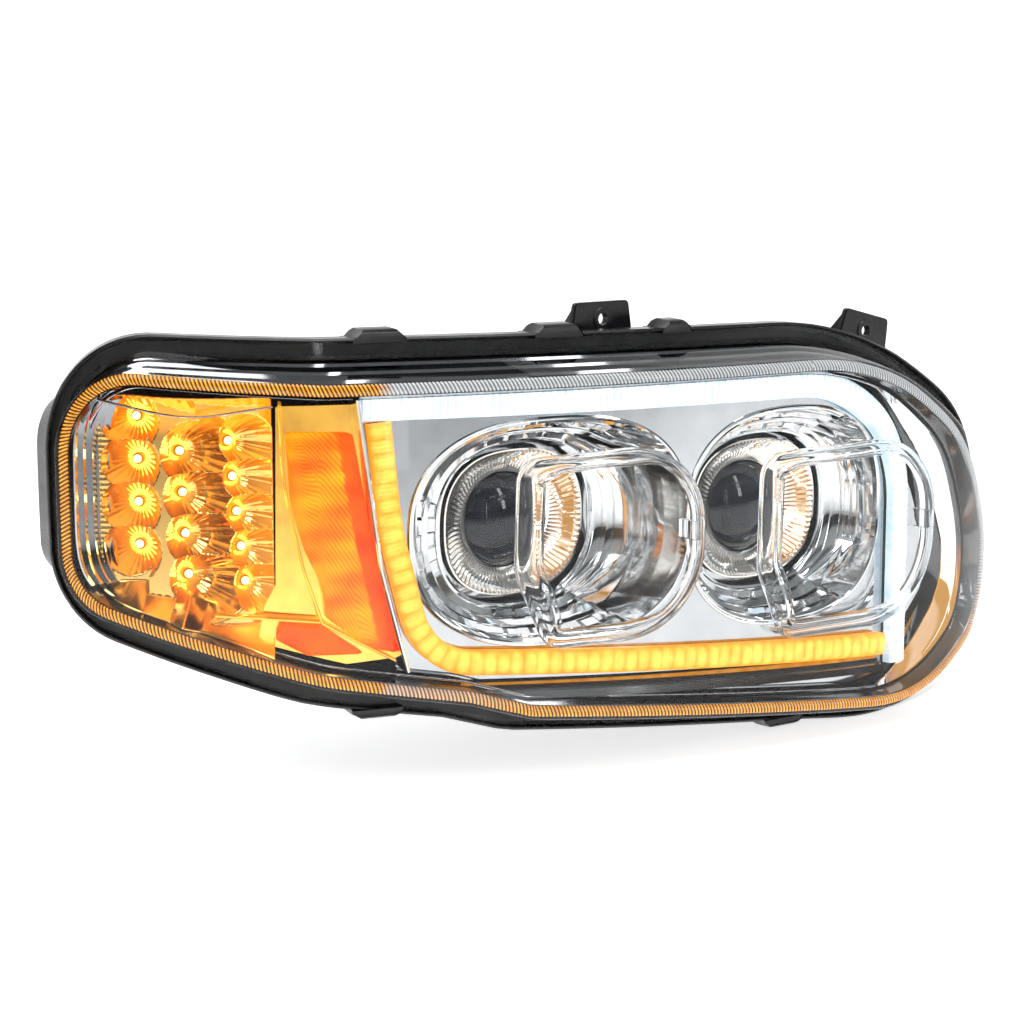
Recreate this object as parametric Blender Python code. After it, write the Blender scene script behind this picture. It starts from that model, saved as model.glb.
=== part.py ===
"""Right-hand headlight of a long-nose truck.

Two projector lamps on one tilting carrier, a white and an amber light guide and a
wraparound turn signal, in a black housing behind one clear lens.

Frame: -Y is the front of the truck, +Z is up, -X is the outer side of the truck. The
origin is the centre of the rear mounting pad. Sizes are in millimetres; MM makes metres.
"""
import math

import bmesh
import bpy
from mathutils import Matrix, Vector

MM = 0.001
GAP = 0.3                      # clearance between pieces that touch

# Plan curve of the lens front, from its inner end: (length, first heading, last heading).
# Heading 0 runs towards -X; a positive heading turns back towards +Y.
CURVE_START = (247.6, -206.3)
CURVE = ((44, -24, -12), (65, -12, -2), (56, -2, 3), (307, 3, 22), (56, 22, 36), (177, 36, 74))

# Outline of the lens face as (distance along the curve, height, corner radius).
RIM = ((121.6, 94.5, 200), (21.8, 34.5, 150), (-14.5, -28.3, 60), (-14.5, -85.5, 58),
       (79, -129, 150), (366, -100, 20), (404, -88.5, 25), (488, -74, 200), (637, -28, 40),
       (638, 104, 48), (484, 94, 150))
RIM_LENGTH = 638
STATIONS = 22                  # facets along the lens

LENS_WALL = 2.6
LENS_BEVEL = 4                 # the fluted band round the face
SKIRT_MOST = 44                # depth of the lens skirt, which falls off to both ends
SKIRT_INNER = 19
SKIRT_OUTER = 7
SKIRT_RISE = 170               # how far along the inner end's fall reaches
SKIRT_GROWTH = 9               # how far the skirt spreads from face to flange
FLANGE_GROWTH = 15
OUTER_TUCK = 11                # the flange spreads less at its outer end
LOWER_TUCK = 6                 # and along the bottom
TOP_SWELL = 5                  # and more above its middle
FLANGE_THICK = 4

SEAL_THICK = 1.1
SEAL_GAP = 0.9                 # clears the facets of both flanges
LIP_GROWTH = 18.5
HOUSING_FLANGE = 4
REAR_WALL_Y = -6
REAR_INSET = 20
WALL = 3

# The two lamps: centre x and z, and the plane of the bowl floor.
LAMPS = {"outboard": (-80, 2, -135), "inboard": (80, -2, -168)}
BOWL_FLOOR = (49, 42, 37)  # half width, half height, corner radius
BOWL_MOUTH = (75, 64, 56)
BOWL_STEPS = 3
STEP_DEPTH = 13                # total depth of the steps
BEZEL_DEPTH = 29               # behind the lens face
BEZEL_THICK = 2.5

GUIDE_DEPTH = 20
GUIDE_THICK = 7
GUIDE_HALVES = {"running_light": 8, "signal_light": 7}
BOARD_THICK = 1.4

SHROUD_MOUTH = (45.5, 38, 35)
LENS_RADIUS = 31
LENS_FRONT = 1                 # apex behind the bowl floor plane
LENS_BACK = 18                 # flat back behind the bowl floor plane
PROJECTOR_LENGTH = 72
BULB_LENGTH = 26

PLATE_Y = -100                 # front of the carrier plate
PLATE_THICK = 4
PIVOT = (142, -88, 0)          # ball centres of the carrier, x is plus and minus
AIM = (0, -88, -62)            # ball centre of the aim screw
BALL_RADIUS = 5
SOCKET_RADIUS = 5.7

COVER_RADIUS = 50
NECK_OUTER = 47
NECK_INNER = 42
NECK_END_Y = 4

CUP_FRONT = 36                 # depth of the turn reflector behind the lens
CUP_BACK = 48
CUP_RADIUS = 9.3
CUP_THROAT = 4.4
# Columns of turn signal lamps: (distance, top height, pitch, number, lean per lamp).
LED_COLUMNS = ((606, 71.5, 24, 4, 0), (578, 52.6, 23, 4, -1.5), (545, 58.5, 19.6, 5, -2.5))

# Top mounting ears: hole centre, half width, half height, tilt in degrees.
EARS = {"outer": ((-35, -157, 119), 25, 10, 0), "inner": ((172, -166, 101), 24, 11, 14)}
EAR_THICK = 4
EAR_HOLE = 3.6
PAD_SIZE = (44, 56)
VENT = (-150, 40)
SOCKET = (-205, 15)
CLIPS = ((445, 1), (334, 1), (253, 1), (448, -1), (165, -1))


# ---------------------------------------------------------------- plan curve and outlines

def on_curve(s):
    """Point and heading of the lens front at distance s from its inner end."""
    x, y = CURVE_START
    for length, first, last in CURVE:
        h0 = math.radians(first)
        bend = math.radians(last - first) / length
        run = min(s, length)
        if s < 0:
            return x - s * math.cos(h0), y + s * math.sin(h0), h0
        heading = h0 + bend * run
        x -= (math.sin(heading) - math.sin(h0)) / bend
        y -= (math.cos(heading) - math.cos(h0)) / bend
        s -= run
        if s <= 0:
            break
    return x, y, heading


def place(s, z, depth=0.0, back=0.0):
    """Point at a depth square to the lens face, then moved back at half the heading."""
    x, y, heading = on_curve(s)
    return Vector((x + depth * math.sin(heading) + back * math.sin(heading / 2),
                   y + depth * math.cos(heading) + back * math.cos(heading / 2), z))


def skirt(s):
    """Depth of the lens skirt: deepest a third of the way along, shallow at both ends."""
    share = min(max(s / RIM_LENGTH, 0), 1)
    rise = min(max(s / SKIRT_RISE, 0), 1)
    deep = SKIRT_MOST - (SKIRT_MOST - SKIRT_OUTER) * share ** 2
    return SKIRT_INNER + (deep - SKIRT_INNER) * rise * rise * (3 - 2 * rise)


def rounded(corners, closed=True, step=12):
    """Polygon whose corners (u, v, radius) are replaced by arcs."""
    points = []
    count = len(corners)
    for i, (u, v, radius) in enumerate(corners):
        here = Vector((u, v))
        if not closed and i in (0, count - 1):
            points.append(here)
            continue
        before = (Vector(corners[i - 1][:2]) - here).normalized()
        after = (Vector(corners[(i + 1) % count][:2]) - here).normalized()
        half = before.angle(after) / 2
        if radius <= 0 or half > math.radians(89):
            points.append(here)
            continue
        reach = radius / math.tan(half)
        centre = here + (before + after).normalized() * radius / math.sin(half)
        start = here + before * reach - centre
        turn = start.angle_signed(here + after * reach - centre)
        arcs = max(2, round(abs(math.degrees(turn)) / step))
        for k in range(arcs + 1):
            points.append(centre + Matrix.Rotation(-turn * k / arcs, 2) @ start)
    return points


def refined(points, longest=30):
    """The same open path with no run longer than the given length."""
    result = [points[0]]
    for a, b in zip(points, points[1:]):
        parts = math.ceil((b - a).length / longest)
        result += [a.lerp(b, (k + 1) / parts) for k in range(parts)]
    return result


def grown(corners, d):
    """The same outline with every side moved out by d."""
    points = [Vector(c[:2]) for c in corners]
    area = sum(a.x * b.y - b.x * a.y for a, b in zip(points, points[1:] + points[:1]))
    side = 1 if area > 0 else -1
    result = []
    for i, here in enumerate(points):
        e0 = (here - points[i - 1]).normalized()
        e1 = (points[(i + 1) % len(points)] - here).normalized()
        n0 = Vector((e0.y, -e0.x)) * side
        n1 = Vector((e1.y, -e1.x)) * side
        moved = here + (n0 + n1) * d / (1 + n0.dot(n1))
        convex = (e0.x * e1.y - e0.y * e1.x) * side > 0
        radius = corners[i][2] + (d if convex else -d)
        result.append((moved.x, moved.y, max(radius, 0)))
    return result


def flange_line(d):
    """Outline at the back of the skirt, d mm out from the face on the top and inner side."""
    result = []
    for s, z, radius in grown(RIM, d):
        if z < 0:
            z += LOWER_TUCK
        elif 400 < s < 600:
            z += TOP_SWELL
        result.append((s - OUTER_TUCK if s > 600 else s, z, radius))
    return result


def span(outline, s):
    """Lowest and highest point of an outline at distance s."""
    heights = []
    for a, b in zip(outline, outline[1:] + outline[:1]):
        if min(a.x, b.x) <= s <= max(a.x, b.x) and abs(a.x - b.x) > 1e-9:
            heights.append(a.y + (b.y - a.y) * (s - a.x) / (b.x - a.x))
    return min(heights), max(heights)


def stations(low, high, count):
    """Distances from low to high, closer together towards both ends."""
    inside = 0.05
    middle, half = (low + high) / 2, (high - low) / 2 - inside
    return [middle - half * math.cos(math.pi * i / count) for i in range(count + 1)]


def edge_loop(corners, point, count=STATIONS):
    """Loop along the top and back along the bottom of an outline; point(s, z) places it."""
    outline = rounded(corners)
    along = stations(min(p.x for p in outline), max(p.x for p in outline), count)
    spans = [span(outline, s) for s in along]
    top = [point(s, high) for s, (low, high) in zip(along, spans)]
    bottom = [point(s, low) for s, (low, high) in zip(along, spans)]
    return top + bottom[::-1]


# ---------------------------------------------------------------- mesh helpers

def bridge(bm, first, second):
    for i in range(len(first)):
        j = (i + 1) % len(first)
        bm.faces.new((first[i], first[j], second[j], second[i]))


def strip_cap(bm, loop):
    """Close a loop made by edge_loop with one quad for each pair of stations."""
    count = len(loop) // 2
    for i in range(count - 1):
        bm.faces.new((loop[i], loop[i + 1], loop[-i - 2], loop[-i - 1]))


def loft(loops, cap=None, closed=False):
    """Solid through loops of equal length. cap closes the two ends."""
    bm = bmesh.new()
    rings = [[bm.verts.new(p) for p in loop] for loop in loops]
    for first, second in zip(rings, rings[1:]):
        bridge(bm, first, second)
    if closed:
        bridge(bm, rings[-1], rings[0])
    elif cap == "strips":
        strip_cap(bm, rings[0])
        strip_cap(bm, rings[-1])
    else:
        bm.faces.new(rings[0])
        bm.faces.new(rings[-1])
    return bm


def plate(corners, depth, thick, count=12):
    """Curved plate of an outline at a depth behind the lens face."""
    front = edge_loop(corners, lambda s, z: place(s, z, depth), count)
    back = edge_loop(corners, lambda s, z: place(s, z, depth + thick), count)
    return loft([front, back], "strips")


def band(path, half, depth, thick):
    """Strip of a given half width along an open path on a surface behind the lens."""
    points = refined(rounded(path, closed=False))
    rows = []
    for i, p in enumerate(points):
        ahead = points[min(i + 1, len(points) - 1)] - points[max(i - 1, 0)]
        across = Vector((-ahead.y, ahead.x)).normalized() * half
        a, b = p + across, p - across
        rows.append([place(a.x, a.y, depth), place(b.x, b.y, depth),
                     place(b.x, b.y, depth + thick), place(a.x, a.y, depth + thick)])
    return loft(rows)


def turned(profile, segments, centre):
    """Solid turned about an axis along Y. The profile holds (radius, y)."""
    bm = bmesh.new()
    verts = [bm.verts.new((r, y, 0)) for r, y in profile]
    edges = [bm.edges.new(pair) for pair in zip(verts, verts[1:])]
    if profile[0][0] > 0 and profile[-1][0] > 0:
        edges.append(bm.edges.new((verts[-1], verts[0])))
    bmesh.ops.spin(bm, geom=verts + edges, cent=(0, 0, 0), axis=(0, 1, 0),
                   angle=2 * math.pi, steps=segments, use_merge=True)
    bmesh.ops.remove_doubles(bm, verts=bm.verts, dist=0.001)
    bmesh.ops.translate(bm, verts=bm.verts, vec=centre)
    return bm


def prism(points, direction):
    """Flat outline pushed along a direction."""
    bm = bmesh.new()
    face = bm.faces.new([bm.verts.new(p) for p in points])
    pushed = bmesh.ops.extrude_face_region(bm, geom=[face], use_keep_orig=True)
    moved = [v for v in pushed["geom"] if isinstance(v, bmesh.types.BMVert)]
    bmesh.ops.translate(bm, verts=moved, vec=direction)
    return bm


def block(size, centre):
    bm = bmesh.new()
    bmesh.ops.create_cube(bm, size=1)
    bmesh.ops.scale(bm, vec=size, verts=bm.verts)
    bmesh.ops.translate(bm, vec=centre, verts=bm.verts)
    return bm


def oval(half_width, half_height, radius, centre, y, points=28):
    """Rounded rectangle in a plane of constant y, or at y(x, z)."""
    flat = Vector((half_width - radius, half_height - radius))
    loop = []
    for i in range(points):
        angle = 2 * math.pi * (i + 0.5) / points
        x = centre[0] + math.copysign(flat.x, math.cos(angle)) + radius * math.cos(angle)
        z = centre[1] + math.copysign(flat.y, math.sin(angle)) + radius * math.sin(angle)
        loop.append(Vector((x, y(x) if callable(y) else y, z)))
    return loop


# ---------------------------------------------------------------- objects and materials

def clear_scene():
    for item in list(bpy.data.objects):
        bpy.data.objects.remove(item, do_unlink=True)


def material(name, colour, roughness, metallic=0.0, alpha=1.0):
    found = bpy.data.materials.get(name)
    if found:
        return found
    made = bpy.data.materials.new(name)
    made.use_nodes = True
    shader = made.node_tree.nodes["Principled BSDF"]
    shader.inputs["Base Color"].default_value = (*colour, 1)
    shader.inputs["Roughness"].default_value = roughness
    shader.inputs["Metallic"].default_value = metallic
    shader.inputs["Alpha"].default_value = alpha
    return made


LOOKS = {
    "clear": ((0.9, 0.93, 0.95), 0.05, 0.0, 0.25),
    "black": ((0.012, 0.012, 0.013), 0.42),
    "rubber": ((0.02, 0.02, 0.02), 0.85),
    "chrome": ((0.78, 0.79, 0.81), 0.08, 1.0),
    "metal": ((0.5, 0.51, 0.53), 0.35, 1.0),
    "steel": ((0.45, 0.46, 0.48), 0.3, 1.0),
    "glass": ((0.85, 0.9, 0.95), 0.03),
    "white": ((0.9, 0.93, 0.97), 0.3),
    "amber": ((1.0, 0.5, 0.04), 0.3),
    "reflex": ((0.95, 0.25, 0.02), 0.25),
    "board": ((0.03, 0.1, 0.05), 0.5),
    "grey": ((0.3, 0.3, 0.31), 0.5),
}


def add(name, bm, look, origin=(0, 0, 0)):
    """Object from a mesh in millimetres, with its origin at the given point."""
    shift = Vector(origin)
    bmesh.ops.translate(bm, verts=bm.verts, vec=-shift)
    bmesh.ops.scale(bm, vec=(MM, MM, MM), verts=bm.verts)
    bmesh.ops.recalc_face_normals(bm, faces=bm.faces)
    mesh = bpy.data.meshes.new(name)
    bm.to_mesh(mesh)
    bm.free()
    mesh.shade_smooth()
    mesh.set_sharp_from_angle(angle=math.radians(35))
    mesh.materials.append(material(look, *LOOKS[look]))
    item = bpy.data.objects.new(name, mesh)
    item.location = shift * MM
    bpy.context.collection.objects.link(item)
    return item


def combine(item, operation, shapes, label):
    """Boolean of guide shapes, which don't meet each other, into an object."""
    every = bmesh.new()
    for shape in shapes:
        bmesh.ops.recalc_face_normals(shape, faces=shape.faces)
        part = bpy.data.meshes.new("part")
        shape.to_mesh(part)
        shape.free()
        every.from_mesh(part)
        bpy.data.meshes.remove(part)
    guide = add(f"guide_{item.name}_{label}", every, "grey")
    guide.hide_render = True
    guide.display_type = "WIRE"
    change = item.modifiers.new(label, "BOOLEAN")
    change.operation = operation
    change.solver = "EXACT"
    change.object = guide


def join(item, label, *shapes):
    combine(item, "UNION", shapes, label)


def cut(item, label, *shapes):
    combine(item, "DIFFERENCE", shapes, label)


def drill(radius, centre, segments=12, reach=9):
    """Round cutter along Y."""
    return turned(((0, -reach), (radius, -reach), (radius, reach), (0, reach)), segments, centre)


# ---------------------------------------------------------------- lens, seal and housing

def outer_lens():
    back = FLANGE_THICK
    inner_skirt = SKIRT_GROWTH - LENS_WALL
    loops = [
        edge_loop(grown(RIM, -LENS_BEVEL), lambda s, z: place(s, z)),
        edge_loop(RIM, lambda s, z: place(s, z, LENS_BEVEL)),
        edge_loop(flange_line(SKIRT_GROWTH), lambda s, z: place(s, z, 0, skirt(s))),
        edge_loop(flange_line(FLANGE_GROWTH), lambda s, z: place(s, z, 0, skirt(s))),
        edge_loop(flange_line(FLANGE_GROWTH), lambda s, z: place(s, z, 0, skirt(s) + back)),
        edge_loop(flange_line(inner_skirt), lambda s, z: place(s, z, 0, skirt(s) + back)),
        edge_loop(grown(RIM, -LENS_WALL), lambda s, z: place(s, z, LENS_BEVEL + LENS_WALL)),
        edge_loop(grown(RIM, -LENS_BEVEL - 1), lambda s, z: place(s, z, LENS_WALL)),
    ]
    add("outer_lens", loft(loops, "strips"), "clear")


def lens_seal():
    front = FLANGE_THICK + SEAL_GAP
    back = front + SEAL_THICK
    loops = [edge_loop(flange_line(growth), lambda s, z, y=y: place(s, z, 0, skirt(s) + y))
             for growth, y in ((7.5, front), (14, front), (14, back), (7.5, back))]
    add("lens_seal", loft(loops, closed=True), "rubber")


def rear_point(y):
    def point(s, z):
        here = place(s, z, 0, skirt(s))
        return Vector((here.x, y, here.z))
    return point


def housing_shell():
    floor = FLANGE_THICK + SEAL_THICK + 2 * SEAL_GAP
    rear = floor + HOUSING_FLANGE
    inner = FLANGE_GROWTH + 2 * GAP
    lip = flange_line(LIP_GROWTH)
    loops = [
        edge_loop(grown(RIM, -REAR_INSET), rear_point(REAR_WALL_Y)),
        edge_loop(flange_line(8), lambda s, z: place(s, z, 0, skirt(s) + rear)),
        edge_loop(lip, lambda s, z: place(s, z, 0, skirt(s) + rear)),
        edge_loop(lip, lambda s, z: place(s, z, 0, skirt(s) - 3)),
        edge_loop(flange_line(inner), lambda s, z: place(s, z, 0, skirt(s) - 3)),
        edge_loop(flange_line(inner), lambda s, z: place(s, z, 0, skirt(s) + floor)),
        edge_loop(flange_line(8 - WALL), lambda s, z: place(s, z, 0, skirt(s) + floor)),
        edge_loop(grown(RIM, -REAR_INSET - WALL), rear_point(REAR_WALL_Y - WALL)),
    ]
    return loft(loops, "strips")


def ear_plate(centre, half_width, half_height, tilt):
    """Upright ear with rounded shoulders, running down into the top of the housing."""
    corners = ((-half_width, -2.2 * half_height, 0), (half_width, -2.2 * half_height, 0),
               (half_width * 0.8, half_height, 3), (-half_width * 0.8, half_height, 3))
    turn = Matrix.Rotation(math.radians(tilt), 3, "Y")
    front = Vector(centre) - Vector((0, EAR_THICK / 2, 0))
    points = [front + turn @ Vector((p.x, 0, p.y)) for p in rounded(corners)]
    return prism(points, (0, EAR_THICK, 0))


def rear_housing():
    housing = add("rear_housing", housing_shell(), "black")
    wall = REAR_WALL_Y - WALL
    lamps = [(x, 0, z) for x, z, _ in LAMPS.values()]
    neck = ((0, wall), (NECK_OUTER, wall), (NECK_OUTER, NECK_END_Y), (0, NECK_END_Y))
    join(housing, "bosses",
         *[turned(neck, 32, centre) for centre in lamps],
         *[ear_plate(*ear) for ear in EARS.values()],
         block((PAD_SIZE[0], 7, PAD_SIZE[1]), (0, -3.5, 0)))
    cut(housing, "openings",
        *[drill(NECK_INNER, centre, 32, 30) for centre in lamps],
        *[drill(EAR_HOLE, centre) for centre, *_ in EARS.values()],
        drill(6, (AIM[0], -7, AIM[2])),
        drill(5, (*VENT[:1], -7, *VENT[1:])),
        drill(9, (*SOCKET[:1], -7, *SOCKET[1:])))


def lens_clip(index, s, side):
    """Spring clip that holds the lens flange against the housing flange."""
    outline = rounded(flange_line(LIP_GROWTH))
    back = FLANGE_THICK + SEAL_THICK + 2 * SEAL_GAP + HOUSING_FLANGE
    reach = LIP_GROWTH - FLANGE_GROWTH + 3
    play, thick, lip = 0.8, 2, 3
    front = -lip - play
    profile = ((-reach, -play), (-reach, front - thick), (play + thick, front - thick),
               (play + thick, back + play + thick), (-8, back + play + thick),
               (-8, back + play), (play, back + play), (play, front), (-reach + thick, front),
               (-reach + thick, -play))
    loops = []
    for along in (s - 9, s, s + 9):
        low, high = span(outline, along)
        edge = high if side > 0 else low
        loops.append([place(along, edge + side * dz, 0, skirt(along) + y) for dz, y in profile])
    add(f"lens_clip_{index}", loft(loops), "black")


# ---------------------------------------------------------------- bezel, hoops and guides

def slab_y(x, depth):
    """y of the bezel at a given x, at a depth behind the lens."""
    low, high = 0.0, float(RIM_LENGTH)
    for _ in range(40):
        middle = (low + high) / 2
        if place(middle, 0, depth).x > x:
            low = middle
        else:
            high = middle
    return place(low, 0, depth).y


def bowl_loops(lamp, extra, reach):
    """Stepped bowl from its floor to the bezel; extra is the wall added outside."""
    x, z, floor = lamp
    shift = extra and 1
    loops = [oval(*[v + extra for v in BOWL_FLOOR], (x, z), floor + extra + (0 if extra else 6))]
    for step in range(BOWL_STEPS + 1):
        share = step / BOWL_STEPS
        size = [a + (b - a) * share + extra for a, b in zip(BOWL_FLOOR, BOWL_MOUTH)]
        y = floor - STEP_DEPTH * share + extra
        if step:
            loops.append(oval(*size, (x, z), y + STEP_DEPTH / BOWL_STEPS))
        loops.append(oval(*size, (x, z), y))
    mouth = [v + extra + 1 for v in BOWL_MOUTH]
    loops.append(oval(*mouth, (x, z), lambda px: slab_y(px, BEZEL_DEPTH) + reach - shift))
    return loops


def chrome_bezel():
    corners = ((124.6, 83.5, 185), (29.8, 26.5, 135), (-3.5, -31, 50), (-3.5, -78, 48),
               (81, -117.6, 140), (360, -90, 18), (402, -78, 20), (440, -74, 3), (460, 84, 3))
    bezel = add("chrome_bezel", plate(corners, BEZEL_DEPTH, BEZEL_THICK, 20), "chrome")
    for name, lamp in LAMPS.items():
        join(bezel, f"bowl_{name}", loft(bowl_loops(lamp, 2.5, 2), "strips"))
    cut(bezel, "hollows", *[loft(bowl_loops(lamp, 0, -12), "strips") for lamp in LAMPS.values()])


def hoop(name, left, width, heading, top, bottom):
    """Flat clear frame in front of a bowl, on a foot that stands on the bezel."""
    along = Vector((math.cos(math.radians(heading)), -math.sin(math.radians(heading)), 0))
    normal = Vector((-along.y, along.x, 0))
    corners = ((0, top - 4, 14), (width, top, 46), (width, bottom, 54), (18, bottom, 14),
               (-2, bottom + 44, 30))
    loops = []
    for inset, depth in ((0, 0), (-6.5, 0), (-6.5, 5), (0, 5)):
        loops.append([Vector((left[0], left[1], 0)) + along * p.x + normal * depth
                      + Vector((0, 0, p.y)) for p in rounded(grown(corners, inset), step=22)])
    frame = add(f"trim_hoop_{name}", loft(loops, closed=True), "clear")
    foot = Vector((left[0], left[1], (top + bottom) / 2 + 4)) + along * (width - 3.4)
    start, end = foot.y + 2, slab_y(foot.x, BEZEL_DEPTH) - 2 * GAP
    join(frame, "foot", block((4, end - start, 11), (foot.x, (start + end) / 2, foot.z)))


DRL_PATH = ((460, 78.5, 0), (136, 77, 110), (77.5, 33, 70), (77.5, -111, 0))
SIGNAL_PATH = ((450, 69, 0), (444, 10, 150), (424, -67, 40), (93, -90.5, 0))


def light_guides():
    for name, path, look in (("running_light", DRL_PATH, "white"),
                             ("signal_light", SIGNAL_PATH, "amber")):
        half = GUIDE_HALVES[name]
        add(f"{name}_guide", band(path, half, GUIDE_DEPTH, GUIDE_THICK), look)
        board = GUIDE_DEPTH + GUIDE_THICK + GAP
        add(f"{name}_board", band(path, half - 2, board, BOARD_THICK), "board")


# ---------------------------------------------------------------- turn signal chamber

def led_places():
    """Distance, height and column of every turn signal lamp."""
    for column, (s, top, pitch, count, lean) in enumerate(LED_COLUMNS, 1):
        for i in range(count):
            yield s + lean * i, top - pitch * i, column


def along_normal(profile, segments, s, z, depth):
    """Turned solid whose axis is square to the lens at (s, z)."""
    bm = turned(profile, segments, (0, 0, 0))
    heading = on_curve(s)[2]
    bmesh.ops.rotate(bm, verts=bm.verts, cent=(0, 0, 0),
                     matrix=Matrix.Rotation(-heading, 3, "Z"))
    bmesh.ops.translate(bm, verts=bm.verts, vec=place(s, z, depth))
    return bm


def turn_reflector():
    corners = ((473, 84, 4), (473, -52, 4), (618, -18, 24), (620, 92, 26), (540, 88, 60))
    panel = add("turn_reflector", plate(corners, CUP_FRONT, 2, 14), "chrome")
    long = CUP_BACK - CUP_FRONT
    wall = 1.6
    slope = (CUP_RADIUS - wall - CUP_THROAT) / long
    outside = ((0, 1), (CUP_RADIUS - 0.1, 1), (CUP_THROAT + wall, long), (0, long))
    inside = ((0, -2), (CUP_RADIUS - wall + 2 * slope, -2), (CUP_THROAT - 2 * slope, long + 2),
              (0, long + 2))
    places = [(s, z) for s, z, _ in led_places()]
    join(panel, "cups", *[along_normal(outside, 10, s, z, CUP_FRONT) for s, z in places])
    cut(panel, "hollows", *[along_normal(inside, 10, s, z, CUP_FRONT) for s, z in places])


def turn_lamps():
    board = CUP_BACK + 3
    for column, (s, top, pitch, count, lean) in enumerate(LED_COLUMNS, 1):
        last = count - 1
        path = ((s - lean, top + 11, 0), (s + lean * (last + 1), top - pitch * last - 11, 0))
        add(f"turn_led_board_{column}", band(path, 6.5, board, BOARD_THICK), "board")
    for i, (s, z, _) in enumerate(led_places(), 1):
        dome = ((0, -4.6), (2.2, -3.6), (2.5, -1.2), (3, -1.2), (3, -GAP), (0, -GAP))
        add(f"turn_led_{i:02d}", along_normal(dome, 6, s, z, board), "amber")


def side_reflex():
    face = ((509, 64, 2), (466.5, 61, 2), (457, -10, 0), (444, -60, 1), (486, -27, 40))
    back = 22.3
    add("side_reflex", plate(face, 18, 4, 10), "reflex")
    lower = ((519, -38, 1), (489, -38.4, 1), (472, -58, 1), (514, -49.4, 1))
    add("lower_reflex", plate(lower, 18, 4, 6), "reflex")
    carrier = ((513, 80, 3), (464, 80, 0), (455, -10, 0), (440, -62, 0), (470, -64, 2),
               (524, -50, 2), (520, -30, 10), (502, 0, 30))
    divider = add("chamber_divider", plate(carrier, back, 2, 12), "chrome")
    edge = ((465.2, 86, 0), (462, 60, 60), (453, -10, 60), (438, -68, 0))
    join(divider, "wall", band(edge, 1.2, 14, 19))


# ---------------------------------------------------------------- projectors and carrier

def projector(name, lamp):
    x, z, floor = lamp
    back = floor + LENS_BACK
    rise = LENS_BACK - LENS_FRONT - 2.5
    curve = [(LENS_RADIUS * math.sin(t), -2.5 - rise * (math.cos(t) - math.cos(1.2))
              / (1 - math.cos(1.2))) for t in [1.2 * i / 5 for i in range(6)]]
    scale = LENS_RADIUS / curve[-1][0]
    dome = [(r * scale, y) for r, y in curve]
    lens = turned([*dome, (LENS_RADIUS, -GAP), (0, -GAP)], 24, (x, back, z))
    add(f"projector_lens_{name}", lens, "glass", AXIS)
    flange = PLATE_Y - GAP - back
    end = PROJECTOR_LENGTH
    outer = [(36, 0), (37, 12), (36.5, 30), (30, 50), (20, 64), (13, end)]
    split = next(i for i, (_, y) in enumerate(outer) if y > flange)
    lugs = [(37, flange - 3), (44, flange - 3), (44, flange), (36.5, flange)]
    inner = [(7.5, end), (17.5, 61.5), (27.5, 47.5), (33.5, 29), (34, 12), (33, 0)]
    shell = outer[:split] + lugs + outer[split:] + inner
    add(f"projector_bowl_{name}", turned(shell, 16, (x, back, z)), "metal", AXIS)
    shroud(name, lamp)
    bulb(name, (x, back + end, z))


def shroud(name, lamp):
    x, z, floor = lamp
    back = floor + LENS_BACK - GAP
    loops = [oval(32, 32, 32, (x, z), back), oval(32.5, 32.5, 32.5, (x, z), back - 4),
             oval(*[v - 2 for v in SHROUD_MOUTH], (x, z), floor + 1),
             oval(*SHROUD_MOUTH, (x, z), floor + 1),
             oval(36, 36, 36, (x, z), back - 4), oval(36, 36, 36, (x, z), back)]
    add(f"lens_shroud_{name}", loft(loops, closed=True), "chrome", AXIS)


def bulb(name, seat):
    """Bulb with its glass in the reflector, and its twist lock base behind."""
    tip = -BULB_LENGTH
    profile = ((0, tip), (3.5, tip + 1.5), (5, tip + 5), (5, -4), (6.3, -4), (6.3, GAP),
               (14, GAP), (14, 4), (10, 4), (10, 14), (8, 14), (8, 24), (0, 24))
    add(f"bulb_{name}", turned(profile, 12, seat), "steel", seat)


def low_beam_shield():
    """Half disc that cuts off the upper part of the low beam."""
    x, z, floor = LAMPS["outboard"]
    y = floor + LENS_BACK + 20
    rim = [Vector((x + 33 * math.cos(a), y, z + 33 * math.sin(a)))
           for a in [math.pi * (1 + i / 12) for i in range(13)]]
    step = [Vector((x + 8, y, z)), Vector((x, y, z - 3))]
    add("low_beam_shield", prism(rim + step, (0, 1.2, 0)), "metal", AXIS)


AXIS = (0, PIVOT[1], PIVOT[2])


def ball_socket(centre):
    """Cup on the carrier, open to the back."""
    front = PLATE_Y + PLATE_THICK - 1 - centre[1]
    return turned(((0, front), (9, front), (9, 5), (0, 5)), 16, centre)


def beam_carrier():
    middle = PLATE_Y + PLATE_THICK / 2
    half = ((0, 48, 0), (127, 48, 12), (127, 12, 6), (153, 12, 6), (153, -12, 6),
            (127, -12, 6), (127, -48, 12), (15, -48, 8), (15, -74, 6), (0, -74, 0))
    mirrored = [(-u, v, radius) for u, v, radius in half[-2:0:-1]]
    outline = [Vector((p.x, PLATE_Y, p.y)) for p in rounded(half + tuple(mirrored), step=30)]
    carrier = add("beam_carrier", prism(outline, (0, PLATE_THICK, 0)), "black", AXIS)
    balls = ((-PIVOT[0], PIVOT[1], PIVOT[2]), PIVOT, AIM)
    join(carrier, "sockets", *[ball_socket(centre) for centre in balls])
    front = PLATE_Y + PLATE_THICK + 2 - PIVOT[1]
    bore = ((0, front), (SOCKET_RADIUS, front), (SOCKET_RADIUS, 9), (0, 9))
    cut(carrier, "openings",
        *[turned(bore, 16, centre) for centre in balls],
        *[drill(39.5, (x, middle, z), 28) for x, z, _ in LAMPS.values()])


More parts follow.
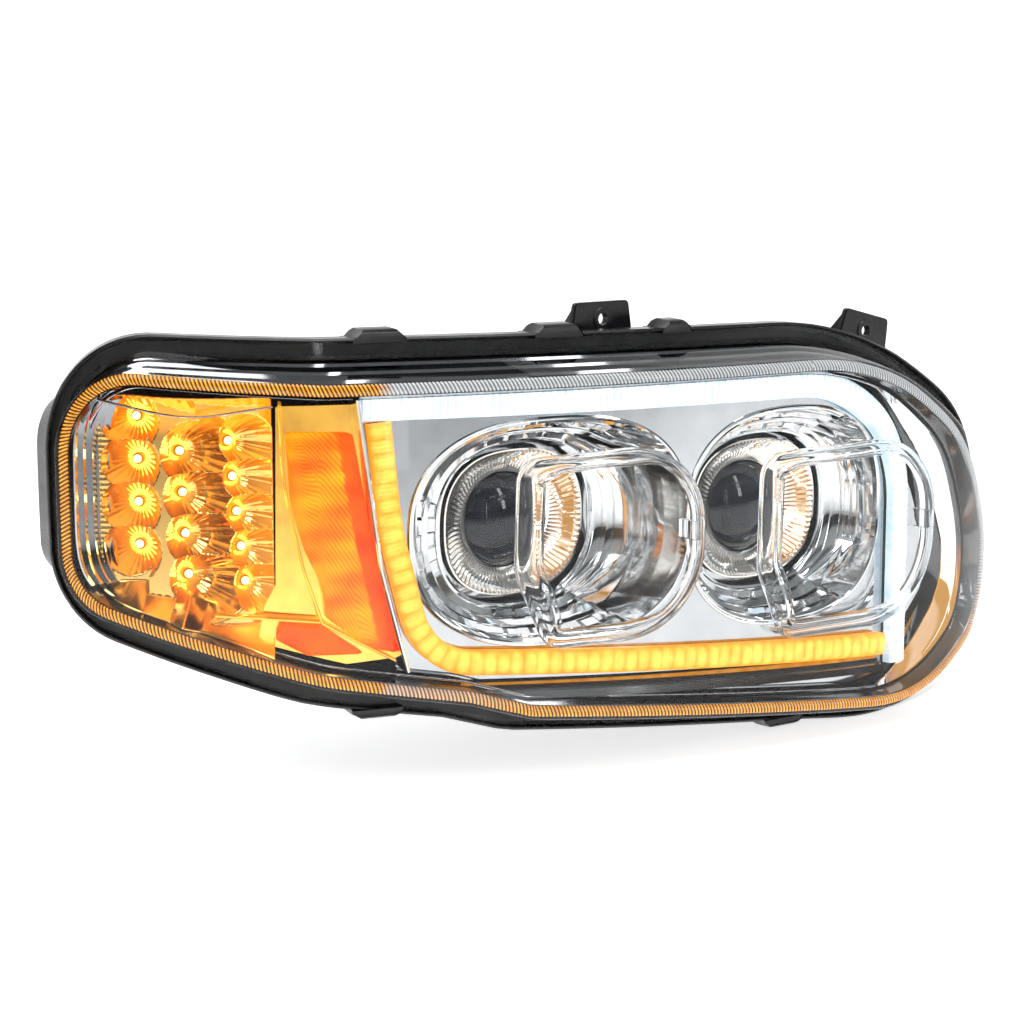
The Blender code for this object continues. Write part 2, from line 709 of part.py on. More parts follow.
def ball_profile(radius, neck):
    """Front of a ball that runs into a neck of the given radius."""
    last = math.asin(neck / radius)
    count = 6
    angles = [(math.pi - last) * i / count for i in range(count + 1)]
    return [(radius * math.sin(a), -radius * math.cos(a)) for a in angles]


def pivot_studs():
    wall = REAR_WALL_Y - WALL - GAP - PIVOT[1]
    for name, side in (("outboard", -1), ("inboard", 1)):
        profile = [*ball_profile(BALL_RADIUS, 2.8), (2.8, wall - 4), (8, wall - 4), (8, wall),
                   (0, wall)]
        add(f"pivot_stud_{name}", turned(profile, 12, (side * PIVOT[0], PIVOT[1], PIVOT[2])),
            "steel")


def aim_adjuster():
    end = -2 - AIM[1]
    profile = [*ball_profile(BALL_RADIUS, 2.8), (2.8, end), (0, end)]
    add("aim_screw", turned(profile, 12, AIM), "steel", AIM)
    face = REAR_WALL_Y + GAP
    seat = (AIM[0], 0, AIM[2])
    lobes = []
    for i in range(40):
        angle = 2 * math.pi * i / 40
        radius = 14 + 1.2 * math.cos(10 * angle)
        lobes.append(Vector((seat[0] + radius * math.cos(angle), face, seat[2]
                             + radius * math.sin(angle))))
    knob = add("aim_knob", prism(lobes, (0, 17, 0)), "grey", seat)
    bore = ((0, face - 3), (3.5, face - 3), (3.5, 6), (0, 6))
    cut(knob, "bore", turned(bore, 12, seat))


# ---------------------------------------------------------------- rear covers and fittings

def rear_cover(name, lamp):
    x, z, _ = lamp
    seat = NECK_END_Y + 2 + 2 * GAP
    ring = ((NECK_INNER + GAP, NECK_END_Y + GAP), (NECK_OUTER - GAP, NECK_END_Y + GAP),
            (NECK_OUTER - GAP, seat - GAP), (NECK_INNER + GAP, seat - GAP))
    add(f"cover_seal_{name}", turned(ring, 32, (x, 0, z)), "rubber")
    profile = ((0, seat + 4), (38, seat + 4), (38, -2), (41, -2), (41, seat),
               (COVER_RADIUS, seat), (COVER_RADIUS, seat + 9), (COVER_RADIUS - 3, seat + 12),
               (0, seat + 12))
    origin = (x, 0, z)
    cover = add(f"rear_cover_{name}", turned(profile, 32, origin), "black", origin)
    join(cover, "grip", block((70, 10, 9), (x, seat + 15, z)))


def vent_cap():
    profile = ((0, -6), (4.5, -6), (4.5, REAR_WALL_Y + GAP), (9, REAR_WALL_Y + GAP), (9, 2),
               (7, 4), (0, 4))
    add("vent_cap", turned(profile, 16, (VENT[0], 0, VENT[1])), "rubber")


def power_socket():
    """Shrouded inlet for the vehicle's plug; the housing wire hole is behind it."""
    x, z = SOCKET
    front = REAR_WALL_Y + GAP
    depth = 24
    socket = add("power_socket", block((44, 4, 34), (x, front + 2, z)), "black")
    join(socket, "shroud", block((34, depth, 24), (x, front + depth / 2, z)))
    cut(socket, "hollow", block((29, depth, 19), (x, front + depth / 2 + 5, z)))
    join(socket, "pins", *[block((1.6, 12, 1.6), (x - 8 + 8 * i, front + 9, z - 4 + 8 * j))
                           for i in range(3) for j in range(2)])


def driver_module():
    """Finned box with the drivers of the light guides."""
    x, z = 172, -12
    front = REAR_WALL_Y + GAP
    fins, pitch, base, high = 9, 7, 9, 7
    profile = [Vector((x - fins * pitch / 2, front, z - 38))]
    for i in range(fins):
        left = x - fins * pitch / 2 + pitch * i
        profile += [Vector((left, front + base + high, z - 38)),
                    Vector((left + 3, front + base + high, z - 38)),
                    Vector((left + 3, front + base, z - 38)),
                    Vector((left + pitch, front + base, z - 38))]
    profile.append(Vector((x + fins * pitch / 2, front, z - 38)))
    add("driver_module", prism(profile, (0, 0, 76)), "metal")


def build():
    clear_scene()
    outer_lens()
    lens_seal()
    rear_housing()
    for index, (s, side) in enumerate(CLIPS, 1):
        lens_clip(index, s, side)
    chrome_bezel()
    hoop("outboard", (-114, -182.5), 120, 12, 50, -63)
    hoop("inboard", (50, -206.5), 138, 4, 41, -76)
    light_guides()
    turn_reflector()
    turn_lamps()
    side_reflex()
    for name, lamp in LAMPS.items():
        projector(name, lamp)
        rear_cover(name, lamp)
    low_beam_shield()
    beam_carrier()
    pivot_studs()
    aim_adjuster()
    vent_cap()
    power_socket()
    driver_module()


build()
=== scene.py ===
"""Looks of the right-hand headlight of a long-nose truck, shown lit.

The frame is the CAD model's: -Y is the front of the truck, +Z is up, -X is its outer side.
Sizes are in millimetres; MM makes metres. Places along the lens are (s, z): the distance
along the lens curve from its inner end, and the height. A depth is square to the lens.
"""
import math
from math import cos, pi, radians, sin

import bmesh
import bpy
from mathutils import Matrix, Vector


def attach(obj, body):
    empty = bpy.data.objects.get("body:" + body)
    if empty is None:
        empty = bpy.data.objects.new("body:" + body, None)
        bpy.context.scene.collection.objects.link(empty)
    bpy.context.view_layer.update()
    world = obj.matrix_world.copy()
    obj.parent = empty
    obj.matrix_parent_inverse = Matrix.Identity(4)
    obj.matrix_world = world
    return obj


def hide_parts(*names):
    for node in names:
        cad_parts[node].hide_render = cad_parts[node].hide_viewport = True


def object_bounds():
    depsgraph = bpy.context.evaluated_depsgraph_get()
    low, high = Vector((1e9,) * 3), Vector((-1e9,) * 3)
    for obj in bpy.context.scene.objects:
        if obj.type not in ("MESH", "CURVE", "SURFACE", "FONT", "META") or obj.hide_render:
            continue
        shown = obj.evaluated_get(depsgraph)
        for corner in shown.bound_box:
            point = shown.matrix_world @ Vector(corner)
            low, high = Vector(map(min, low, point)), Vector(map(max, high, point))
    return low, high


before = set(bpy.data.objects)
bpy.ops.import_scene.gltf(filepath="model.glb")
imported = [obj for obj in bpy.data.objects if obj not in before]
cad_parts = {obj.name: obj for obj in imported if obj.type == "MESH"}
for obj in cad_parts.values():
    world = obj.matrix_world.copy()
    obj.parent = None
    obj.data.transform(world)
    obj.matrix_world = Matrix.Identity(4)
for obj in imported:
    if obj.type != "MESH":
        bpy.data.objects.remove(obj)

CAD_BOX = [list(corner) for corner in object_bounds()]
MM = 0.001

# The lens, as in the CAD model.
CURVE_START = (247.6, -206.3)
# Bends of the lens in plan: length, first and last heading in degrees.
CURVE = ((44, -24, -12), (65, -12, -2), (56, -2, 3), (307, 3, 22), (56, 22, 36), (177, 36, 74))
# Outline of the lens: distance, height and corner radius.
RIM = ((121.6, 94.5, 200), (21.8, 34.5, 150), (-14.5, -28.3, 60), (-14.5, -85.5, 58),
       (79, -129, 150), (366, -100, 20), (404, -88.5, 25), (488, -74, 200), (637, -28, 40),
       (638, 104, 48), (484, 94, 150))
RIM_LENGTH = 638
LENS_WALL = 2.6
LENS_BEVEL = 4
SKIRT_MOST, SKIRT_INNER, SKIRT_OUTER, SKIRT_GROWTH = 44, 19, 7, 9
SKIRT_RISE = 170
FLANGE_GROWTH, FLANGE_THICK = 15, 4
OUTER_TUCK, LOWER_TUCK, TOP_SWELL = 14, 6, 5
SEAL_THICK, SEAL_GAP = 1.1, 0.9
LIP_GROWTH = 17.6
HOUSING_FLANGE = 4
REAR_WALL_Y, REAR_INSET, WALL = -6, 20, 3

# Lamps: x and z of the axis, and y of the bowl's floor.
LAMPS = {"outboard": (-80, 2, -135), "inboard": (80, -2, -168)}
BOWL_FLOOR = (55, 46.5)
BOWL_MOUTHS = {"outboard": (84, 64), "inboard": (75, 64)}
BEZEL_DEPTH = 29
LENS_RADIUS = 31
LENS_BACK = 18
GUIDE_DEPTH = 20
GUIDE_THICK = 7
RIB_PITCH = 2.4
DRL_PATH = ((460, 78.5, 0), (136, 77, 110), (77.5, 33, 70), (77.5, -104, 0))
SIGNAL_PATH = ((450, 69, 0), (444, 10, 150), (424, -67, 40), (93, -90.5, 0))
CUP_BACK = 48
# Columns of turn signal lamps: distance, top height, pitch, count, lean of each row.
LED_COLUMNS = ((606, 71.5, 24, 4, 0), (578, 52.6, 23, 4, -1.5), (545, 58.5, 19.6, 5, -2.5))
# Ears: centre, half width, half height, tilt in degrees.
EARS = {"outer": ((-35, -157, 119), 25, 10, 0), "inner": ((172, -166, 101), 24, 11, 14)}
EAR_THICK, EAR_HOLE = 4, 3.6
# Clips: distance along the lens, top or bottom, half length.
CLIPS = ((445, 1, 17), (334, 1, 17), (253, 1, 12), (448, -1, 17), (165, -1, 17))


# ---- plan curve and outlines

def on_curve(s):
    """Point and heading of the lens front at distance s from its inner end."""
    x, y = CURVE_START
    for length, first, last in CURVE:
        h0 = radians(first)
        bend = radians(last - first) / length
        run = min(s, length)
        if s < 0:
            return x - s * cos(h0), y + s * sin(h0), h0
        heading = h0 + bend * run
        x -= (sin(heading) - sin(h0)) / bend
        y -= (cos(heading) - cos(h0)) / bend
        s -= run
        if s <= 0:
            break
    return x, y, heading


def place(s, z, depth=0.0, back=0.0):
    """Point at a depth square to the lens face, then moved back at half the heading."""
    x, y, heading = on_curve(s)
    return Vector((x + depth * sin(heading) + back * sin(heading / 2),
                   y + depth * cos(heading) + back * cos(heading / 2), z))


def skirt(s):
    """Depth of the lens skirt: deepest a third of the way along, shallow at both ends."""
    share = min(max(s / RIM_LENGTH, 0), 1)
    rise = min(max(s / SKIRT_RISE, 0), 1)
    deep = SKIRT_MOST - (SKIRT_MOST - SKIRT_OUTER) * share ** 2
    return SKIRT_INNER + (deep - SKIRT_INNER) * rise * rise * (3 - 2 * rise)


def rounded(corners, closed=True, step=4):
    """Polygon whose corners (u, v, radius) are replaced by arcs."""
    points = []
    count = len(corners)
    for i, (u, v, radius) in enumerate(corners):
        here = Vector((u, v))
        if not closed and i in (0, count - 1):
            points.append(here)
            continue
        before = (Vector(corners[i - 1][:2]) - here).normalized()
        after = (Vector(corners[(i + 1) % count][:2]) - here).normalized()
        half = before.angle(after) / 2
        if radius <= 0 or half > radians(89.5):
            points.append(here)
            continue
        reach = radius / math.tan(half)
        centre = here + (before + after).normalized() * radius / sin(half)
        start = here + before * reach - centre
        turn = start.angle_signed(here + after * reach - centre)
        arcs = max(2, round(abs(math.degrees(turn)) / step))
        for k in range(arcs + 1):
            points.append(centre + Matrix.Rotation(-turn * k / arcs, 2) @ start)
    return points


def grown(corners, d):
    """The same outline with every side moved out by d."""
    points = [Vector(c[:2]) for c in corners]
    area = sum(a.x * b.y - b.x * a.y for a, b in zip(points, points[1:] + points[:1]))
    side = 1 if area > 0 else -1
    result = []
    for i, here in enumerate(points):
        e0 = (here - points[i - 1]).normalized()
        e1 = (points[(i + 1) % len(points)] - here).normalized()
        n0 = Vector((e0.y, -e0.x)) * side
        n1 = Vector((e1.y, -e1.x)) * side
        moved = here + (n0 + n1) * d / (1 + n0.dot(n1))
        convex = (e0.x * e1.y - e0.y * e1.x) * side > 0
        radius = corners[i][2] + (d if convex else -d)
        result.append((moved.x, moved.y, max(radius, 0)))
    return result


def flange_line(d):
    """Outline at the back of the skirt, d mm out from the face on the top and inner side."""
    result = []
    for s, z, radius in grown(RIM, d):
        if z < 0:
            z += LOWER_TUCK
        elif 400 < s < 600:
            z += TOP_SWELL
        result.append((s - OUTER_TUCK if s > 600 else s, z, radius))
    return result


def span(outline, s):
    """Lowest and highest point of an outline at distance s."""
    heights = []
    for a, b in zip(outline, outline[1:] + outline[:1]):
        if min(a.x, b.x) <= s <= max(a.x, b.x) and abs(a.x - b.x) > 1e-9:
            heights.append(a.y + (b.y - a.y) * (s - a.x) / (b.x - a.x))
    return min(heights), max(heights)


def stations(low, high, count):
    """Distances from low to high, closer together towards both ends."""
    inside = 0.05
    middle, half = (low + high) / 2, (high - low) / 2 - inside
    return [middle - half * cos(pi * i / count) for i in range(count + 1)]


def edge_loop(corners, point, count=110):
    """Loop along the top and back along the bottom of an outline; point(s, z) places it."""
    outline = rounded(corners)
    along = stations(min(p.x for p in outline), max(p.x for p in outline), count)
    spans = [span(outline, s) for s in along]
    top = [point(s, high) for s, (low, high) in zip(along, spans)]
    bottom = [point(s, low) for s, (low, high) in zip(along, spans)]
    return top + bottom[::-1]


def face_loop(growth, depth):
    """Loop on the outline of the lens, grown by some mm, at a depth square to its face."""
    return edge_loop(grown(RIM, growth), lambda s, z: place(s, z, depth))


def skirt_loop(growth, extra, count=110):
    """Loop round the back of the skirt, grown by some mm, and an extra depth behind it."""
    return edge_loop(flange_line(growth), lambda s, z: place(s, z, 0, skirt(s) + extra), count)


def even(points, step, closed):
    """Points at an even step along a path, as (point, sideways unit vector, distance).

    The sideways vector points out of a closed outline, and to the left of an open path."""
    ring = points + points[:1] if closed else points
    turn = -1 if closed and sum(a.x * b.y - b.x * a.y for a, b in zip(ring, ring[1:])) > 0 else 1
    lengths = [(b - a).length for a, b in zip(ring, ring[1:])]
    total = sum(lengths)
    count = max(2, round(total / step))
    result = []
    i, start = 0, 0.0
    for k in range(count + (0 if closed else 1)):
        target = total * k / count
        while i < len(lengths) - 1 and start + lengths[i] < target:
            start += lengths[i]
            i += 1
        share = (target - start) / lengths[i] if lengths[i] else 0
        result.append((ring[i].lerp(ring[i + 1], min(share, 1)), target))
    samples = []
    for k, (p, distance) in enumerate(result):
        before = result[k - 1] if closed or k else result[k]
        after = result[(k + 1) % len(result)] if closed or k + 1 < len(result) else result[k]
        ahead = (after[0] - before[0]).normalized()
        samples.append((p, Vector((-ahead.y, ahead.x)) * turn, distance))
    return samples


# ---- mesh helpers

OVAL_POINTS = 96


def bridge(bm, first, second, wrap=True):
    """Quads between two rows of vertices. wrap joins each row's ends."""
    for i in range(len(first) - (0 if wrap else 1)):
        j = (i + 1) % len(first)
        bm.faces.new((first[i], first[j], second[j], second[i]))


def loft(loops, closed=False, strips=False):
    """Solid through loops of equal length, with its two ends closed unless it is a ring."""
    bm = bmesh.new()
    rings = [[bm.verts.new(p) for p in loop] for loop in loops]
    for first, second in zip(rings, rings[1:]):
        bridge(bm, first, second)
    if closed:
        bridge(bm, rings[-1], rings[0])
        return bm
    for ring in (rings[0], rings[-1]):
        if strips:
            for i in range(len(ring) // 2 - 1):
                bm.faces.new((ring[i], ring[i + 1], ring[-i - 2], ring[-i - 1]))
        else:
            bm.faces.new(ring)
    return bm


def sheet(rows, wrap=False):
    """Open surface through rows of points. wrap joins each row's ends."""
    bm = bmesh.new()
    grid = [[bm.verts.new(p) for p in row] for row in rows]
    for a, b in zip(grid, grid[1:]):
        bridge(bm, a, b, wrap)
    return bm


def turned(profile, segments, centre):
    """Solid turned about an axis along Y. The profile holds (radius, y)."""
    bm = bmesh.new()
    verts = [bm.verts.new((r, y, 0)) for r, y in profile]
    edges = [bm.edges.new(pair) for pair in zip(verts, verts[1:])]
    if profile[0][0] > 0 and profile[-1][0] > 0:
        edges.append(bm.edges.new((verts[-1], verts[0])))
    bmesh.ops.spin(bm, geom=verts + edges, cent=(0, 0, 0), axis=(0, 1, 0),
                   angle=2 * pi, steps=segments, use_merge=True)
    bmesh.ops.remove_doubles(bm, verts=bm.verts, dist=0.001)
    bmesh.ops.translate(bm, verts=bm.verts, vec=centre)
    return bm


def prism(points, direction):
    """Flat outline pushed along a direction."""
    bm = bmesh.new()
    face = bm.faces.new([bm.verts.new(p) for p in points])
    pushed = bmesh.ops.extrude_face_region(bm, geom=[face], use_keep_orig=True)
    moved = [v for v in pushed["geom"] if isinstance(v, bmesh.types.BMVert)]
    bmesh.ops.translate(bm, verts=moved, vec=direction)
    return bm


def block(size, centre):
    bm = bmesh.new()
    bmesh.ops.create_cube(bm, size=1)
    bmesh.ops.scale(bm, vec=size, verts=bm.verts)
    bmesh.ops.translate(bm, vec=centre, verts=bm.verts)
    return bm


def angles(count):
    return [2 * pi * i / count for i in range(count)]


def steps(low, high, count):
    """Even steps from low to high, both included."""
    return [low + (high - low) * i / count for i in range(count + 1)]


def polar(centre, r, a, y):
    """Point at a radius and angle about a centre (x, z), at a given y."""
    return Vector((centre[0] + r * cos(a), y, centre[1] + r * sin(a)))


def superellipse(size, angle, power=2.5):
    """Radius of a rounded rectangle of the given half sizes, at an angle."""
    across = abs(cos(angle) / size[0]) ** power
    return (across + abs(sin(angle) / size[1]) ** power) ** (-1 / power)


def slab(corners, front, back, count):
    """Plate with the given outline, from one depth behind the lens to another."""
    return loft([edge_loop(corners, lambda s, z: place(s, z, depth), count)
                 for depth in (front, back)], strips=True)


def oval(size, centre, y):
    """Rounded rectangle in a plane of constant y."""
    return [polar(centre, superellipse(size, a), a, y) for a in angles(OVAL_POINTS)]


def swept(path, profile, step, closed):
    """Rows of points along a path on the lens. The profile holds (offset sideways, depth)."""
    return [[place(*(p + side * out), depth) for out, depth in profile]
            for p, side, _ in even(path, step, closed)]


def smooth(t):
    t = min(max(t, 0), 1)
    return t * t * (3 - 2 * t)


# ---- materials

# Where the fluted rim turns amber and takes its painted glow, in metres.
AMBER_FROM_X = (-0.186, -0.196)
AMBER_FROM_Z = (-0.055, -0.095)
# Colours of the painted glow of the reflexes, by their tone attribute.
REFLEX_TONES = ((0.0, (0.7, 0.01, 0.0)), (0.3, (0.95, 0.06, 0.0)), (0.6, (0.95, 0.28, 0.0)),
                (1.0, (1.0, 0.66, 0.01)))


class Look:
    """A node material built round one Principled BSDF, textured in object space."""

    def __init__(self, name):
        self.material = bpy.data.materials.new(name)
        self.material.use_nodes = True
        self.tree = self.material.node_tree
        self.shader = self.tree.nodes["Principled BSDF"]
        self.place = self.node("ShaderNodeTexCoord").outputs["Object"]

    def node(self, kind, **values):
        """New node. Each value is for the input of that name, or else for the node itself."""
        made = self.tree.nodes.new(kind)
        for key, value in values.items():
            if key in made.inputs:
                made.inputs[key].default_value = value
            else:
                setattr(made, key, value)
        return made

    def link(self, a, b):
        self.tree.links.new(a, b)

    def set(self, **values):
        """Plain values on the shader, given as Base_Color=... and so on."""
        for key, value in values.items():
            self.shader.inputs[key.replace("_", " ")].default_value = value
        return self

    def noise(self, scale, detail=3):
        node = self.node("ShaderNodeTexNoise", Scale=scale, Detail=detail)
        self.link(self.place, node.inputs["Vector"])
        return node.outputs["Fac"]

    def attribute(self, name):
        return self.node("ShaderNodeAttribute", attribute_name=name).outputs["Fac"]

    def split(self, vector):
        node = self.node("ShaderNodeSeparateXYZ")
        self.link(vector, node.inputs["Vector"])
        return node.outputs

    def math(self, operation, a, b):
        """Math node on two values, each an output or a number."""
        node = self.node("ShaderNodeMath", operation=operation)
        for value, entry in zip((a, b), node.inputs):
            if isinstance(value, (int, float)):
                entry.default_value = value
            else:
                self.link(value, entry)
        return node.outputs["Value"]

    def range(self, source, low, high, start=0.3, end=0.7):
        """Value that goes from low to high while the source goes from start to end."""
        node = self.node("ShaderNodeMapRange")
        for key, value in (("From Min", start), ("From Max", end), ("To Min", low),
                           ("To Max", high)):
            node.inputs[key].default_value = value
        self.link(source, node.inputs["Value"])
        return node.outputs["Result"]

    def ramp(self, source, stops):
        node = self.node("ShaderNodeValToRGB")
        fill_ramp(node.color_ramp, stops)
        self.link(source, node.inputs["Fac"])
        return node.outputs["Color"]

    def colour(self, source, stops):
        self.link(self.ramp(source, stops), self.shader.inputs["Base Color"])
        return self

    def speckle(self, scale, dark, light):
        """Base colour that wanders between two tones."""
        return self.colour(self.noise(scale), ((0.3, dark), (0.7, light)))

    def rough(self, source, low, high):
        self.link(self.range(source, low, high), self.shader.inputs["Roughness"])
        return self

    def bump(self, source, strength, distance):
        node = self.node("ShaderNodeBump", Strength=strength, Distance=distance)
        self.link(source, node.inputs["Height"])
        self.link(node.outputs["Normal"], self.shader.inputs["Normal"])
        return self

    def glow(self, source, stops, strength):
        self.link(self.ramp(source, stops), self.shader.inputs["Emission Color"])
        self.shader.inputs["Emission Strength"].default_value = strength
        return self


def fill_ramp(ramp, stops):
    while len(ramp.elements) < len(stops):
        ramp.elements.new(0.5)
    for element, (at, colour) in zip(ramp.elements, stops):
        element.position = at
        element.color = (*colour, 1)


def dimmed(colour, share):
    return [c * share for c in colour]


def plain(name, dark, light, scale, rough, metallic=0.0, bump=0.05, **values):
    """Material whose colour, roughness and fine relief follow a noise of the given scale."""
    look = Look(name).set(Metallic=metallic, **values)
    look.speckle(scale, dark, light)
    look.rough(look.noise(scale * 0.37), *rough)
    if bump:
        look.bump(look.noise(scale * 2.1, 5), bump, 0.0004)
    return look


def chrome(name, tint, dark=0.75):
    return plain(name, dimmed(tint, dark), tint, 60, (0.03, 0.09), metallic=1.0, bump=0.012)


def clear(name, tint, least, most):
    """Thin clear plastic: see-through, with a mirror layer that grows at grazing angles."""
    look = Look(name).set(Metallic=1.0)
    look.speckle(35, (0.9, 0.9, 0.9), (1, 1, 1))
    look.rough(look.noise(90), 0.02, 0.05)
    see = look.node("ShaderNodeBsdfTransparent", Color=(*tint, 1))
    facing = look.node("ShaderNodeLayerWeight", Blend=0.5).outputs["Facing"]
    mix = look.node("ShaderNodeMixShader")
    look.link(look.range(look.math("POWER", facing, 4.5), least, most, 0, 1), mix.inputs["Fac"])
    look.link(see.outputs["BSDF"], mix.inputs[1])
    look.link(look.shader.outputs["BSDF"], mix.inputs[2])
    look.link(mix.outputs["Shader"], look.tree.nodes["Material Output"].inputs["Surface"])
    return look


def solid_clear(name, tint):
    """Thick clear plastic that bends the light behind it."""
    look = Look(name).set(Transmission_Weight=1.0, IOR=1.32)
    look.speckle(40, dimmed(tint, 0.97), tint)
    look.rough(look.noise(120), 0.0, 0.03)
    return look


def light_guide(name, pale, deep, strength, dots):
    """Lit plastic bar. U runs along it in millimetres, V across it from 0 to 1."""
    look = Look(name).set(Roughness=0.25, IOR=1.49)
    along = look.split(look.node("ShaderNodeUVMap").outputs["UV"])
    beat = look.math("DIVIDE", look.math("PINGPONG", along["X"], dots / 2), dots / 2)
    lift = look.math("MULTIPLY", beat, look.math("PINGPONG", along["Y"], 0.5))
    middle = [(a + 2 * b) / 3 for a, b in zip(deep, pale)]
    look.glow(lift, ((0.0, deep), (0.12, middle), (0.42, pale)), strength)
    look.speckle(120, deep, pale)
    return look


def amber_by_place(name, silver, amber, glow):
    """Fluted band with a painted amber glow beside the turn signal and below, silver elsewhere."""
    look = Look(name).set(Roughness=0.15, IOR=1.5)
    at = look.split(look.place)
    either = look.math("MAXIMUM", look.range(at["X"], 0, 1, *AMBER_FROM_X),
                       look.range(at["Z"], 0, 1, *AMBER_FROM_Z))
    ridge = look.attribute("ridge")
    tones = look.node("ShaderNodeMix", data_type="RGBA")
    look.link(either, tones.inputs["Factor"])
    # The ridge ramps darken the troughs of the flutes: painted shade.
    look.link(look.ramp(ridge, ((0.15, dimmed(silver, 0.25)), (0.8, silver))), tones.inputs[6])
    look.link(look.ramp(ridge, ((0.25, dimmed(amber, 0.12)), (0.85, amber))), tones.inputs[7])
    look.link(tones.outputs[2], look.shader.inputs["Base Color"])
    # Painted amber glow, strongest on the ridges of the flutes.
    lit = look.math("MULTIPLY", look.math("MULTIPLY", either, ridge),
                    look.range(look.noise(150), 0.5, 1.0))
    stops = ((0.2, (0, 0, 0)), (0.6, dimmed(amber, 0.7)), (1.0, (1.0, 0.62, 0.12)))
    look.glow(lit, stops, glow)
    return look


def glowing_chrome(name, tint, colour, strength, rough=(0.03, 0.09)):
    """Chrome lit by the lamps in it: it glows by the mesh's own glow attribute."""
    look = chrome(name, tint, 0.85)
    look.rough(look.noise(22), *rough)
    low = (colour[0] * 0.16, colour[1] * 0.07, 0)
    middle = (colour[0] * 0.6, colour[1] * 0.42, colour[2] * 0.3)
    stops = ((0.0, (0, 0, 0)), (0.12, low), (0.5, middle), (1.0, colour))
    return look.glow(look.attribute("glow"), stops, strength)


# Plain looks: name, dark and light tone, scale of the grain, roughness, other values.
PLAIN = {
    "black": ("black_plastic", (0.006, 0.006, 0.007), (0.016, 0.016, 0.018), 140, (0.2, 0.34), {}),
    "rear": ("black_moulding", (0.010, 0.010, 0.011), (0.022, 0.022, 0.024), 260, (0.42, 0.6),
             {"bump": 0.2}),
    "rubber": ("black_rubber", (0.012, 0.012, 0.012), (0.024, 0.024, 0.024), 300, (0.7, 0.85),
               {"bump": 0.25}),
    "steel": ("zinc_steel", (0.42, 0.43, 0.45), (0.62, 0.63, 0.64), 180, (0.22, 0.4),
              {"metallic": 1.0}),
    "cast": ("die_cast", (0.38, 0.39, 0.41), (0.52, 0.53, 0.55), 240, (0.4, 0.6),
             {"metallic": 1.0, "bump": 0.3}),
    "grey": ("grey_plastic", (0.16, 0.16, 0.17), (0.24, 0.24, 0.25), 220, (0.4, 0.55),
             {"bump": 0.15}),
    "board": ("green_board", (0.012, 0.06, 0.03), (0.02, 0.1, 0.045), 320, (0.3, 0.5), {}),
    # Opaque and near black: painted shade standing in for the dark projector behind clear glass.
    "glass": ("dark_lens", (0.004, 0.006, 0.012), (0.012, 0.016, 0.03), 25, (0.01, 0.03),
              {"bump": 0, "IOR": 1.52}),
    "reflex": ("amber_reflex", (0.8, 0.05, 0.0), (1.0, 0.2, 0.0), 45, (0.12, 0.2),
               {"bump": 0.1, "Specular_IOR_Level": 0.25}),
    "led": ("lit_dome", (1.0, 0.75, 0.2), (1.0, 0.85, 0.4), 300, (0.1, 0.2), {"bump": 0}),
    "socket": ("led_socket", (0.9, 0.34, 0.02), (0.6, 0.2, 0.01), 300, (0.3, 0.4), {}),
}


def build_looks():
    looks = {
        "lens": clear("clear_lens", (0.985, 0.99, 0.99), 0.012, 0.6),
        "trim": solid_clear("clear_trim", (0.97, 0.98, 0.985)),
        "flutes": amber_by_place("fluted_rim", (0.8, 0.82, 0.84), (0.95, 0.36, 0.02), 0.7),
        "chrome": chrome("bright_chrome", (0.93, 0.94, 0.95)),
        # The next two are darker copies of the same chrome: painted shade.
        "shade": chrome("shaded_chrome", (0.58, 0.59, 0.61), 0.9),
        "deep_shade": chrome("deep_shaded_chrome", (0.13, 0.13, 0.135)),
        "liner": chrome("dark_chrome", (0.3, 0.3, 0.315)),
        "amber_chrome": chrome("amber_lit_chrome", (1.0, 0.6, 0.14), 0.8),
        "flank": glowing_chrome("flank_chrome", (0.93, 0.94, 0.95), (1.0, 0.5, 0.03), 0.75),
        "cone": glowing_chrome("cone_chrome", (0.9, 0.86, 0.8), (1.0, 0.56, 0.02), 0.8),
        "dishes": glowing_chrome("dish_chrome", (0.92, 0.54, 0.16), (1.0, 0.42, 0.01), 1.4,
                                 (0.08, 0.18)),
        "white_guide": light_guide("white_guide", (0.97, 0.99, 1.0), (0.42, 0.56, 0.66), 0.86, 4.5),
        "amber_guide": light_guide("amber_guide", (1.0, 0.64, 0.09), (0.8, 0.26, 0.0), 0.92, 8.3),
    }
    looks.update({key: plain(*row, **more) for key, (*row, more) in PLAIN.items()})
    plate, reflex, led = looks["amber_chrome"], looks["reflex"], looks["led"]
    plate.glow(plate.noise(70), ((0.35, (0.55, 0.16, 0.0)), (0.65, (1.0, 0.46, 0.02))), 0.45)
    reflex.glow(reflex.attribute("tone"), REFLEX_TONES, 0.72)
    led.glow(led.noise(400), ((0.3, (1.0, 0.72, 0.16)), (0.7, (1.0, 0.85, 0.35))), 5.0)
    return looks


# ---- objects

LOOKS = build_looks()
dict.fromkeys(("chrome", "shade", "deep_shade", "flank", "cone", "dishes",
                            "amber_chrome"), "chromed_plastic")


def shown(name, bm, look, values):
    """Smooth object from a mesh, in one look. values are lists for its points."""
    mesh = bpy.data.meshes.new(name)
    bm.to_mesh(mesh)
    bm.free()
    mesh.shade_smooth()
    mesh.materials.append(look.material)
    for key, numbers in values.items():
        mesh.attributes.new(key, "FLOAT", "POINT").data.foreach_set("value", numbers)
    item = bpy.data.objects.new(name, mesh)
    bpy.context.collection.objects.link(item)
    return item


